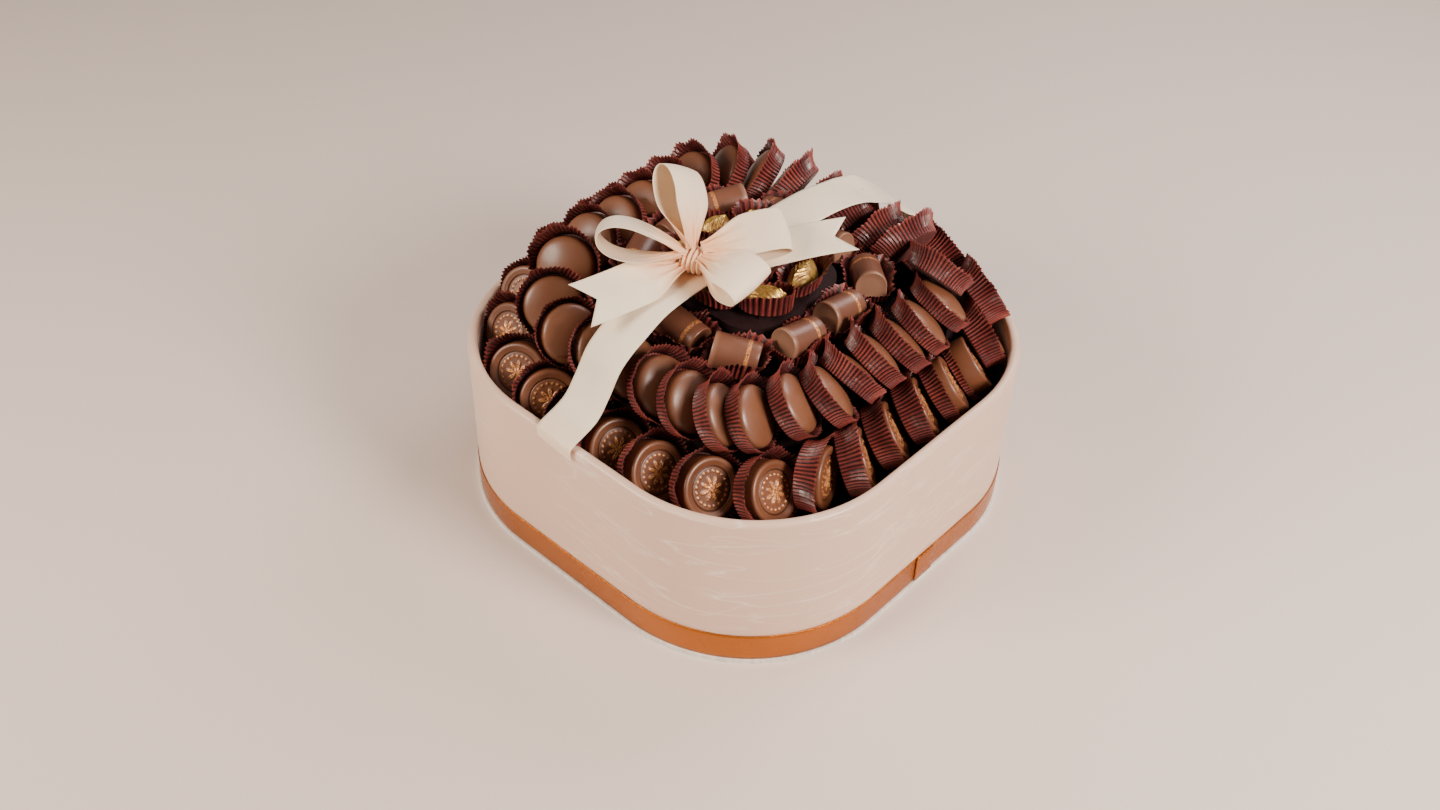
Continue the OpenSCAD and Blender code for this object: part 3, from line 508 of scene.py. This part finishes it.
def medallion():
    """Coin of chocolate: rounded edge, raised rim, a cut circle, and a rosette with beads."""
    base = FLOOR_T - MEDAL_ALL / 2
    top = base + MEDAL_T
    face = top - FACE_DROP
    profile = [(r, base + z) for r, z in MEDAL_FOOT] + [(r, top + z) for r, z in MEDAL_RIM]
    profile += [(r, face) for r in MEDAL_FACE_RADII] + [(0, face + BOSS_H)]

    def relief(r, a, z):
        petals = PETAL_R * np.abs(np.cos(PETAL_PAIRS * a)) ** 0.7
        inside = smoothstep(0.0, 0.9, petals - r) * (r < PETAL_REACH)
        from_middle = np.abs(np.sin(PETAL_PAIRS * a)) * r / PETAL_R
        vein = smoothstep(0.09, 0.02, from_middle) * (r > VEIN_FROM) * (r < VEIN_TO)
        bead_a = (a * BEADS / (2 * math.pi)) % 1 - 0.5
        along_ring = bead_a * 2 * math.pi * BEAD_RING_R / BEADS
        bead = smoothstep(0.85, 0.35, np.hypot(along_ring, r - BEAD_RING_R))
        boss = smoothstep(2.0, 1.4, r)
        on_face = r < ORNAMENT_R
        lift = (0.5 * inside - 0.25 * vein + 0.45 * bead + 0.15 * boss) * on_face
        gilt = np.clip(inside + bead, 0, 1) * on_face
        # painted shade inside the cut circle's groove
        groove_shade = (np.abs(r - CUT_R) < CUT_HALF) * (z > 0) * 1.0
        return lift, gilt, groove_shade

    return turned(profile, MEDAL_COLS, relief)


def dome():
    """Round praline with a straight side, a soft shoulder and a shallow dome."""
    base = FLOOR_T - DOME_ALL / 2
    ball = (PRALINE_R ** 2 + DOME_H ** 2) / (2 * DOME_H)

    def crown(r):
        return base + DOME_SIDE + DOME_H - ball + math.sqrt(ball ** 2 - r * r)

    profile = [(r, base + z) for r, z in DOME_FOOT]
    profile += [(DOME_SHOULDER_R, crown(DOME_SHOULDER_R) - DOME_SHOULDER_DROP)]
    profile += [(r, crown(r)) for r in (*DOME_CROWN_RADII, 0)]

    def relief(r, a, z):
        wave = 0.12 * np.sin(2 * a + 0.6) * (r / PRALINE_R) ** 2 * (z > 0)
        return wave, np.zeros(r.shape), np.zeros(r.shape)

    return turned(profile, DOME_COLS, relief)


def log():
    """D-shaped log with softened edges, a raised lip round its end faces and a gold stripe."""
    base = FLOOR_T - LOG_ALL / 2
    r = LOG_W / 2
    arc = [(r * math.cos(t), LOG_H - r + r * math.sin(t)) for t in np.linspace(0, math.pi, 25)]
    section = [(-r + 0.5, 0), (-3, 0), (3, 0), (r - 0.5, 0)] + [(r - d, z) for d, z in LOG_SIDE]
    section += arc[1:-1] + [(-r + d, z) for d, z in reversed(LOG_SIDE)]
    flat = np.array(section, float)
    middle = np.array([0, LOG_H / 2 - 0.4])
    half = LOG_L / 2
    ends = [(x - half, share) for x, share in LOG_END]
    rows = ends + [(x, 1.0) for x in LOG_RINGS] + [(-x, share) for x, share in reversed(ends)]
    rings = []
    for x, share in rows[1:-1]:
        ring = middle + (flat - middle) * share
        rings.append(np.column_stack([np.full(len(ring), x), ring[:, 0], ring[:, 1] + base]))
    first, last = ([[rows[i][0], 0, middle[1] + base]] for i in (0, -1))
    points = np.concatenate([first, *rings, last])
    x = points[:, 0]
    return Shape(points, capped(len(rings), len(flat), len(points) - 1), groove_shade=0.0,
                 gilt=((x > STRIPE_FROM) & (x < STRIPE_TO)) * 1.0, pale=(x < PALE_END - half) * 1.0)


def leaf():
    """Leaf with a raised midrib and slanting veins over a rounded back."""
    base = FLOOR_T - LEAF_ALL / 2
    a, b = LEAF_L / 2, LEAF_W / 2
    arc = (a * a + b * b) / (2 * b)
    t = np.arange(LEAF_COLS) * 2 * math.pi / LEAF_COLS
    x_edge = a * np.cos(t)
    y_edge = np.sign(np.sin(t)) * (np.sqrt(np.maximum(arc ** 2 - x_edge ** 2, 0)) - (arc - b))
    rho = np.linspace(1, 0, LEAF_RINGS + 1)[:-1]
    x = rho[:, None] * x_edge
    y = rho[:, None] * y_edge
    edge = np.repeat(rho[:, None], LEAF_COLS, 1)
    height = (LEAF_H - 1.2) * (1 - edge ** 2.6) ** 0.62
    rib = np.exp(-(y / 0.9) ** 2) * 0.9 * smoothstep(1.0, 0.7, np.abs(x) / a)
    veins = (0.42 * np.sin(2 * math.pi * (np.abs(y) * 0.5 - x * 0.28))
             * smoothstep(0.02, 0.3, edge) * smoothstep(1, 0.8, edge))
    z = base + 1.0 + height + (rib + veins) * (height > 0.5)
    top = np.stack([x, y, np.minimum(z, base + LEAF_H)], -1).reshape(-1, 3)
    skirt = np.stack([x_edge * 0.97, y_edge * 0.97, np.full(LEAF_COLS, base)], -1)
    points = np.concatenate([skirt, top, [[0, 0, base + LEAF_H - 0.1]], [[0, 0, base]]])
    faces = (grid(LEAF_RINGS + 1, LEAF_COLS)
             + fan(len(points) - 2, LEAF_RINGS * LEAF_COLS, LEAF_COLS)
             + fan(len(points) - 1, 0, LEAF_COLS))
    shine = np.clip(rib + np.maximum(veins, 0) * 1.5, 0, 1).ravel()
    return Shape(points, faces, gilt=np.concatenate([np.zeros(LEAF_COLS), shine, [1, 0]]), groove_shade=0.0)


# ---------------------------------------------------------------- paper cups
# Shares of a cup's height at which its wall has a row of points
CUP_LEVELS = (0, 0.04, 0.3, 0.55, 0.75, 0.9, 1.0)
# Waves round a cup's mouth: slow ones that bend it, quick ones that frill it
SLOW_WAVES, FRILL_WAVES = (1, 2, 3, 5), (7, 9, 13)
# Number and depth of the pleats in each kind of cup, and height of the round cups' walls
ROUND_PLEATS, LOG_PLEATS, LEAF_PLEATS = 56, 34, 26
ROUND_DEPTH, LOG_DEPTH, LEAF_DEPTH = 0.45, 0.65, 0.6
MEDAL_CUP_H, DOME_CUP_H = 10.8, 8.8
# How far a cup's edge stands out from a log and from a leaf, and its floor over its underside
LOG_ROOM, LEAF_ROOM, CUP_FLOOR = 1.0, 0.9, 0.05


def cup(outline, pleats, height, flare, all_h, seed, depth):
    """Pleated cup. outline(a) gives a point of the base's edge and the way out from it; height(a)
    and flare(a) give how high its wall stands and how far its mouth leans out."""
    rng = np.random.default_rng(seed)
    cols = pleats * 2
    a = np.arange(cols) * 2 * math.pi / cols + rng.uniform(-0.25, 0.25, cols) * math.pi / cols
    x, y, nx, ny = outline(a)
    wave = np.tile([1.0, -1.0], pleats)
    each = rng.uniform(0.7, 1.2, cols)

    def waves(counts, least):
        return sum(rng.uniform(least, 1.0) * np.cos(m * a + rng.uniform(0, 2 * math.pi))
                   for m in counts)

    slow = waves(SLOW_WAVES, 0.3) / 3
    frill = waves(FRILL_WAVES, 0.4) / 2
    torn = rng.uniform(-0.4, 0.4, cols) + 0.35 * wave
    floor = -all_h / 2 + CUP_FLOOR
    tall = height(a) * (1 + 0.08 * slow)
    lean = flare(a) * (1 + 0.35 * slow)
    rows, ridge, edge = [], [], []
    for s in CUP_LEVELS:
        out = (depth * (0.5 + 0.7 * s) * wave * each + lean * s ** 2.4
               + 0.22 * lean * frill * s ** 5)
        if s == 0:
            out = np.full(cols, -0.5)
        z = floor + tall * s + (torn + 0.3 * frill) * (s == 1)
        rows.append(np.stack([x + nx * out, y + ny * out, np.broadcast_to(z, cols)], -1))
        ridge.append(wave)
        edge.append(np.full(cols, float(s == 1)))
    floor_ring = np.stack([x * 0.6, y * 0.6, np.full(cols, floor)], -1)
    points = np.concatenate([[[0, 0, floor]], floor_ring, *rows])
    faces = fan(0, 1, cols) + grid(len(rows) + 1, cols, first=1)
    flat = np.zeros(cols + 1)
    return Shape(points, faces, ridge=np.concatenate([flat, *ridge]),
                 edge=np.concatenate([flat, *edge]))


def round_outline(a):
    r = PRALINE_R + GAP + PAPER + PLEAT / 2
    return r * np.cos(a), r * np.sin(a), np.cos(a), np.sin(a)


def box_outline(a):
    """Rounded rectangle round a log."""
    half_l, half_w, soft = LOG_L / 2 + LOG_ROOM, LOG_W / 2 + LOG_ROOM, 6.0
    c, s = np.cos(a), np.sin(a)
    k = (np.abs(c) ** soft + np.abs(s) ** soft) ** (-1 / soft)
    nx = np.sign(c) * np.abs(c * k) ** (soft - 1)
    ny = np.sign(s) * np.abs(s * k) ** (soft - 1)
    n = np.hypot(nx, ny)
    return half_l * c * k, half_w * s * k, nx / n, ny / n


def oval_outline(a):
    half_l, half_w = LEAF_L / 2 + LEAF_ROOM, LEAF_W / 2 + LEAF_ROOM
    nx, ny = np.cos(a) / half_l, np.sin(a) / half_w
    n = np.hypot(nx, ny)
    return half_l * np.cos(a), half_w * np.sin(a), nx / n, ny / n


def round_cup(all_h, tall, seed, share):
    """Cup of a round praline; a share below 1 presses its whole mouth down and in."""
    def height(a):
        return (tall + 1.0 - 0.9 * np.cos(a)) * share

    def flare(a):
        return (1.3 + 3.0 * smoothstep(0.6, -0.7, np.cos(a))) * share

    return cup(round_outline, ROUND_PLEATS, height, flare, all_h, seed, ROUND_DEPTH)


def medal_cup(seed, share):
    return round_cup(MEDAL_ALL, MEDAL_CUP_H, seed, share)


def dome_cup(seed, share):
    return round_cup(DOME_ALL, DOME_CUP_H, seed, share)


def log_cup(seed, share):
    """Cup of a log, low at the log's pale end; a share below 1 draws its mouth in."""
    def height(a):
        return 4.2 + 8.6 * smoothstep(-0.95, 0.3, np.cos(a))

    def flare(a):
        return (1.6 + 2.0 * np.abs(np.sin(a)) + 1.0 * smoothstep(0.5, 1.0, np.cos(a))) * share

    return cup(box_outline, LOG_PLEATS, height, flare, LOG_ALL, seed, LOG_DEPTH)


def leaf_cup(seed, share):
    """Cup of a leaf; a share below 1 draws its mouth in."""
    def height(a):
        return 7.6 + 4.0 * smoothstep(-0.8, 0.6, np.cos(a + 0.6))

    def flare(a):
        return (2.2 + 1.6 * np.abs(np.sin(a))) * share

    return cup(oval_outline, LEAF_PLEATS, height, flare, LEAF_ALL, seed, LEAF_DEPTH)


# For each row: names of a loose piece and its cup, the piece's shape, material and slot, its cup
KINDS = {
    "a": ("medallion", "medal_cup", medallion(), MEDAL, "medal_chocolate", medal_cup),
    "b": ("dome", "dome_cup", dome(), MILK, "milk_chocolate", dome_cup),
    "c": ("log", "log_cup", log(), LOG, "log_chocolate", log_cup),
    "d": ("leaf", "leaf_cup", leaf(), GOLD, "gold_chocolate", leaf_cup),
}
for row, (word, cup_word, solid, skin, skin_slot, make_cup) in KINDS.items():
    sets = [(f"{word}_{k}", f"{cup_word}_{k}", [n], f"loose_{word}_{k}")
            for k, n in enumerate(LOOSE[row], 1)]
    sets += [(node, cup_node, [n for n in numbers if n not in LOOSE[row]], "tray")
             for node, cup_node, numbers in GROUPS[row]]
    for node, cup_node, numbers, body in sets:
        places = {n: place(row, n) for n in numbers}
        piece(node, joined([solid.moved(m) for m in places.values()]), skin, body)
        cups = [make_cup(100 * ord(row) + n, FOLDED.get((row, n), 1.0)).moved(m)
                for n, m in places.items()]
        piece(cup_node, joined(cups), CUP, body, smooth=False)


# ---------------------------------------------------------------- box
# Spacing of the points round the wall, and the length and height of the ripples in its layers
STEP, LINING_STEP = 2.4, 3.0
RIPPLE_L, RIPPLE_H = 26, 9
# How far the middle of the lining stands in from the wall, and that of the band out from its gap
LINING_IN, BAND_OUT = 0.15, 0.2
# The padded rim: height of its pad, how square it is, and where it starts below the rim
PAD_H, PAD_SOFT, PAD_START = 2.45, 2.35, 3.2


def round_path(step):
    """Points and ways out round the box, anticlockwise from the front's middle, and spacing."""
    side = 2 * (HALF - CORNER) + math.pi * CORNER / 2
    n = 4 * int(side / step)
    found = [way(HALF, CORNER, i / n) for i in range(n)]
    h = np.radians([f[2] for f in found])
    line = np.array([f[:2] for f in found])
    return line, np.column_stack([np.sin(h), -np.cos(h)]), 4 * side / n


def swept(profile, step, ripple, seed=0.0):
    """Surface swept round the box; the profile gives (distance in from the outside, height),
    ripple is how far the ripples stand out and in, and seed sets where they are."""
    line, out, spacing = round_path(step)
    rows = []
    for d, z in profile:
        row = np.column_stack([line - out * d, np.full(len(line), z)])
        wave = [noise.noise(Vector((p[0] / RIPPLE_L, p[1] / RIPPLE_L, z / RIPPLE_H + seed)))
                for p in row]
        row[:, :2] += out * (np.array(wave)[:, None] * ripple)
        rows.append(row)
    cols = len(line)
    along = np.tile(np.arange(cols) * spacing, len(profile))
    across = np.repeat(np.linspace(-1, 1, len(profile)), cols)
    return Shape(np.concatenate(rows), grid(len(rows), cols), along=along, across=across, painted_glow=0.0)


def rim_profile():
    """The wrap: up the outside, over a padded rim and down inside, over the lining's top."""
    mid, power = WALL_IN / 2, 2 / PAD_SOFT
    outside = [(0.0, z) for z in np.linspace(FOOT_Z, BOX_H - PAD_START, 30)]
    over = []
    for t in np.linspace(0, math.pi, 19):
        c, s = math.cos(t), math.sin(t)
        over.append((mid - mid * np.sign(c) * abs(c) ** power, BOX_H - PAD_H + PAD_H * s ** power))
    return outside + over + [(WALL_IN, BOX_H - down) for down in (4, 8, 14)]


def lap_shape():
    """The overlap of the band's ends, a small sheet on the band's outside."""
    low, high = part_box("band_lap")
    rows, cols = 7, 8
    y = np.linspace(low.y, high.y, cols) / MM
    z = np.linspace(low.z, high.z, rows) / MM
    points = [(HALF + 2 * GAP + 0.6 + 0.12 * math.sin(up), along, up) for up in z for along in y]
    return Shape(points, grid(rows, cols, closed=False), along=np.tile(y, rows),
                 across=np.repeat(np.linspace(-1, 1, rows), cols), painted_glow=0.0)


lining_profile = [(WALL_IN + LINING_IN, z) for z in np.linspace(FOOT_Z + 0.5, BOX_H - 3.5, 12)]
band_profile = [(-GAP - BAND_OUT, z) for z in np.linspace(FOOT_Z, FOOT_Z + BAND_H, 9)]
wrap = piece("wall_wrap", swept(rim_profile(), STEP, 0.12), WRAP, thickness=SKIN_T)
piece("wall_lining", swept(lining_profile, LINING_STEP, 0.08, 4), LINING,
      thickness=LINING_T)
band = piece("foot_band", swept(band_profile, STEP, 0.12, 9), COPPER,
             thickness=SKIN_T)
lap = piece("band_lap", lap_shape(), COPPER, thickness=SKIN_T)
# The risers and the seats take the near-black card as painted shade between the rows
for node, material in (("base_board", WHITE_BOARD), ("wall_board", GREY_BOARD),
                       ("riser_outer", SHADED_CARD), ("riser_middle", SHADED_CARD),
                       ("riser_inner", SHADED_CARD), ("riser_crown", SHADED_CARD),
                       ("seats", SHADED_CARD)):
    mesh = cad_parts[node].data
    mesh.materials.clear()
    mesh.materials.append(material)


# ---------------------------------------------------------------- ribbons
# The strap's line between the rims: shares of the half side along it, and shares of the way from
# the rim's height to the strap's top
STRAP_TOP = ROWS["d"][2] + STRAP_RISE
STRAP_SHARES = ((-.88, .16), (-.816, .345), (-.76, .55), (-.704, .665), (-.64, .752), (-.52, .894),
                (-.36, .956), (-.2, .965), (0, .991), (.2, 1), (.4, 1), (.56, .945), (.64, .89),
                (.72, .82), (.8, .69), (.904, .5), (.97, .35))
STRAP_MIDDLE = [(s * HALF, BOX_H + r * (STRAP_TOP - BOX_H)) for s, r in STRAP_SHARES]
# Points across and along each kind of ribbon, where the gathers at the knot end, and how far
# before a tail's end its notch begins
STRAP_COLS, BOW_COLS, KNOT_COLS = 17, 29, 41
LOOP_ROWS, TAIL_ROWS, KNOT_ROWS = 61, 34, 49
GATHER_END, NOTCH_L = 30, 24
# Half widths of a loop and a tail at the knot, and where each is full width
LOOP_WAIST, LOOP_FULL = 3.2, 27
TAIL_WAIST, TAIL_FULL = 3.4, 28


def smooth_line(points, n):
    """Catmull-Rom curve through the points, n steps between each two."""
    p = np.asarray(points, float)
    made = []
    for i in range(len(p) - 1):
        a, b, c, d = p[max(i - 1, 0)], p[i], p[i + 1], p[min(i + 2, len(p) - 1)]
        for u in np.arange(n) / n:
            made.append((2 * b + (c - a) * u + (2 * a - 5 * b + 4 * c - d) * u ** 2
                         + (3 * b - a - 3 * c + d) * u ** 3) / 2)
    return np.array(made + [p[-1]])


def ribbon(line, side, half_width, folds, cols, painted_glow, cut=None):
    """Ribbon along a line, and its length: side is the way across it, half_width and painted_glow
    hold a value for each point of the line, painted_glow being the share of painted warm light,
    and folds(t, k) is how far the cloth stands off the line."""
    ahead = np.gradient(line, axis=0)
    ahead /= np.linalg.norm(ahead, axis=1)[:, None]
    side = side - (side * ahead).sum(1)[:, None] * ahead
    side /= np.linalg.norm(side, axis=1)[:, None]
    up = np.cross(side, ahead)
    t = np.linspace(-1, 1, cols)
    points = np.array([line[k] + side[k] * (t * half_width[k])[:, None]
                       + up[k] * folds(t, k)[:, None] for k in range(len(line))])
    if cut is not None:
        points = cut(points, t, ahead)
    steps = np.linalg.norm(np.diff(line, axis=0), axis=1)
    length = np.concatenate([[0], np.cumsum(steps)])
    n = len(line)
    shape = Shape(points.reshape(-1, 3), grid(n, cols, closed=False),
                  along=np.repeat(length, cols), across=np.tile(t, n), painted_glow=np.repeat(painted_glow, cols))
    return shape, float(length[-1])


def strap():
    """The ribbon over the box, front rim to back rim."""
    stand = 1.5 * GAP + STRAP_HALF_T + RIBBON_W / 2 * math.sin(STRAP_SKEW)
    front = [(-HALF - stand, BOX_H - STRAP_DROP), (-HALF - stand, BOX_H - 2.8),
             (-HALF - stand, BOX_H - 0.5), (-HALF + 0.8, BOX_H + stand * 1.5)]
    back = [(HALF + stand * 0.6, BOX_H + stand * 2.6), (HALF + stand, BOX_H - 1),
            (HALF + stand, BOX_H - STRAP_DROP)]
    y, z = smooth_line(front + STRAP_MIDDLE + back, 6).T
    line = np.column_stack([y * math.sin(STRAP_SKEW), y * math.cos(STRAP_SKEW), z])
    roll = 0.30 * smoothstep(60, 100, y) * smoothstep(126, 108, y)
    across = np.array([math.cos(STRAP_SKEW), -math.sin(STRAP_SKEW), 0])
    side = across * np.cos(roll)[:, None] - np.array([0, 0, 1]) * np.sin(roll)[:, None]

    def folds(t, k):
        return 0.5 * (1 - t * t) + 0.25 * np.sin(y[k] / 17 + 2 * t)

    # painted glow of warm light, strongest round the knot and again over the front rim
    glow = 0.75 * np.exp(-((y + KNOT_Y) / 13) ** 2) + 0.25 * smoothstep(-112, -124, y)
    return ribbon(line, side, np.full(len(line), RIBBON_W / 2), folds, STRAP_COLS, glow)


def knot_matrix(turn, up, roll, rise):
    """Place of a part of the bow that leaves the knot at a turn, a slope and a roll, in degrees."""
    z = np.interp(-KNOT_Y, *np.array(STRAP_MIDDLE).T) + STRAP_HALF_T + GAP + KNOT_H / 2
    at = Vector((-KNOT_Y * math.sin(STRAP_SKEW), -KNOT_Y, z + rise))
    return (Matrix.Translation(at) @ Matrix.Rotation(math.radians(turn), 4, "Z")
            @ Matrix.Rotation(math.radians(-up), 4, "Y")
            @ Matrix.Rotation(math.radians(roll), 4, "X"))


def across_y(n):
    return np.tile([0, 1.0, 0], (n, 1))


def loop(length, puff, seed):
    """One loop of the bow: out from the knot, round a puffed end and back, gathered."""
    w = np.linspace(0, 2 * math.pi, LOOP_ROWS)
    s = (1 - np.cos(w)) / 2
    x = ROOT - 3 + (length - ROOT + 3) * s
    z = puff / 2 * np.sin(w) * s ** 0.6
    line = np.column_stack([x, np.zeros(len(x)), z])
    wide = LOOP_WAIST + (RIBBON_W / 2 - LOOP_WAIST) * smoothstep(ROOT - 3, LOOP_FULL, x)
    gather = 1 - smoothstep(ROOT - 2, GATHER_END, x)

    def folds(t, k):
        crown = 0.9 * (1 - t * t) * (1 - gather[k])
        pleats = (1.35 * gather[k] * np.cos(3 * math.pi * t + seed)
                  + 0.5 * gather[k] * np.cos(7 * math.pi * t))
        return -(crown + pleats)

    # painted warm glow, strongest in the gathers at the knot
    return ribbon(line, across_y(len(x)), wide, folds, BOW_COLS, gather * 0.8 + 0.18)


def tail(length, seed):
    """A free end of the bow with a swallow-tailed cut."""
    x = np.linspace(ROOT - 4, length, TAIL_ROWS)
    z = 0.6 * np.sin(x / 11 + seed) * smoothstep(8, 30, x)
    line = np.column_stack([x, np.zeros(len(x)), z])
    wide = TAIL_WAIST + (RIBBON_W / 2 - TAIL_WAIST) * smoothstep(ROOT - 3, TAIL_FULL, x)
    gather = 1 - smoothstep(ROOT - 2, GATHER_END, x)

    def folds(t, k):
        return (1.2 * gather[k] * np.cos(3 * math.pi * t + seed)
                + 0.3 * np.cos(2 * t + seed + x[k] / 20))

    def cut(points, t, ahead):
        pull = NOTCH * (1 - np.abs(t)) * smoothstep(length - NOTCH_L, length, x)[:, None]
        return points - ahead[:, None, :] * pull[:, :, None]

    # painted warm glow, strongest in the gathers at the knot
    return ribbon(line, across_y(len(x)), wide, folds, BOW_COLS, gather * 0.9, cut)


def knot():
    """The band of ribbon that holds the bow: gathered in lengthways folds round its waist."""
    half_wide, reach, tall = 5.6, 5.6, 5.1
    a = np.linspace(0, 2 * math.pi, KNOT_ROWS)
    line = np.column_stack([np.zeros(len(a)), reach * np.sin(a), -tall * np.cos(a)])

    def folds(t, k):
        return 1.0 * np.cos(4.5 * math.pi * t + 0.4 * math.sin(a[k])) + 0.8 * t * t

    # painted warm glow over the whole knot
    return ribbon(line, np.tile([1.0, 0, 0], (len(a), 1)), np.full(len(a), half_wide), folds,
                  KNOT_COLS, np.full(len(a), 0.8))


def lay_ribbon(node, made, matrix=None):
    """A ribbon's piece at its place."""
    shape, length = made
    if matrix is not None:
        shape = shape.moved(matrix)
    obj = piece(node, shape, SATIN, thickness=RIBBON_T)
    return obj


strap_piece = lay_ribbon("strap", strap())
knot_piece = lay_ribbon("knot", knot(), knot_matrix(20, 0, 0, 0))
# Loops: length, puff, then turn, slope, roll and rise at the knot, and seed
for node, length, puff, turn, slope, roll, rise, seed in (
        ("loop_up", 45, PUFF, 149, 38, 42, KNOT_H / 5, 0.4),
        ("loop_left", 47, PUFF * 1.24, 218, 12, 22, KNOT_H / 4, 1.7),
        ("loop_right", 39, PUFF * 0.94, -3, 5, 14, KNOT_H / 4, 2.9),
        ("loop_back", 45, PUFF * 0.6, 52, 10, 16, KNOT_H / 2, 4.0)):
    lay_ribbon(node, loop(length, puff, seed),
               knot_matrix(turn, slope, roll, rise))
# Tails: length, then turn, slope, roll and rise at the knot, and seed
for node, length, turn, slope, roll, rise, seed in (
        ("tail_front", 60, 250, -7, -22, 0, 0.5), ("tail_back", 78, 54, 6, 5, -KNOT_H / 12, 2.2)):
    made = tail(length, seed)
    lay_ribbon(node, made, knot_matrix(turn, slope, roll, rise))


# ---------------------------------------------------------------- stage
FLOOR_HALF = 6.0
AIM = Vector((0, 0, 0.08))


def plain_floor():
    """Pale, almost even surface."""
    colour = (0.74, 0.64, 0.58)
    material, add, wire = new_material("pale_floor", colour, 0.6, Specular_IOR_Level=0.3)
    wire(ramp(add, cloud(add, 900, 2), (0.3, toned(colour, 0.985)), (0.7, toned(colour, 1.015))),
         "Base Color")
    return material


def add_floor():
    h = FLOOR_HALF
    mesh = bpy.data.meshes.new("floor")
    mesh.from_pydata([(-h, -h, 0), (h, -h, 0), (h, h, 0), (-h, h, 0)], [], [(0, 1, 2, 3)])
    mesh.materials.append(plain_floor())
    obj = bpy.data.objects.new("floor", mesh)
    bpy.context.scene.collection.objects.link(obj)


def add_lamp(name, at, size, power, colour):
    """Round area lamp that looks at the box; size in metres, power in watts."""
    light = bpy.data.lights.new(name, "AREA")
    light.shape = "DISK"
    light.size, light.energy, light.color = size, power, colour
    obj = bpy.data.objects.new(name, light)
    obj.location = at
    obj.rotation_euler = (AIM - Vector(at)).to_track_quat("-Z", "Y").to_euler()
    bpy.context.scene.collection.objects.link(obj)


def add_world(colour, strength):
    world = bpy.data.worlds.new("studio")
    world.use_nodes = True
    background = world.node_tree.nodes["Background"]
    background.inputs["Color"].default_value = (*colour, 1)
    background.inputs["Strength"].default_value = strength
    bpy.context.scene.world = world


def add_camera():
    """Camera at the photograph's place, turn and lens."""
    camera = bpy.data.cameras.new("camera")
    camera.lens, camera.sensor_width = LENS, SENSOR
    level = math.cos(ELEVATION)
    back = Vector((math.sin(YAW) * level, -math.cos(YAW) * level, math.sin(ELEVATION)))
    right = Vector((math.cos(YAW), math.sin(YAW), 0))
    up = back.cross(right)
    right, up = (right * math.cos(ROLL) + up * math.sin(ROLL),
                 up * math.cos(ROLL) - right * math.sin(ROLL))
    pose = Matrix((right, up, back)).transposed().to_4x4()
    pose.translation = Vector(EYE) * MM
    obj = bpy.data.objects.new("camera", camera)
    obj.matrix_world = pose
    bpy.context.scene.collection.objects.link(obj)
    bpy.context.scene.camera = obj


add_floor()
add_lamp("key", (0.95, 0.05, 0.75), 0.4, 20.0, (1.0, 0.87, 0.78))
add_lamp("front", (-0.45, -0.95, 0.7), 0.6, 16.0, (1.0, 0.86, 0.73))
add_lamp("back", (0.1, 0.8, 0.85), 0.6, 7.0, (1.0, 0.90, 0.88))
add_world((1.0, 0.87, 0.80), 0.17)
add_camera()
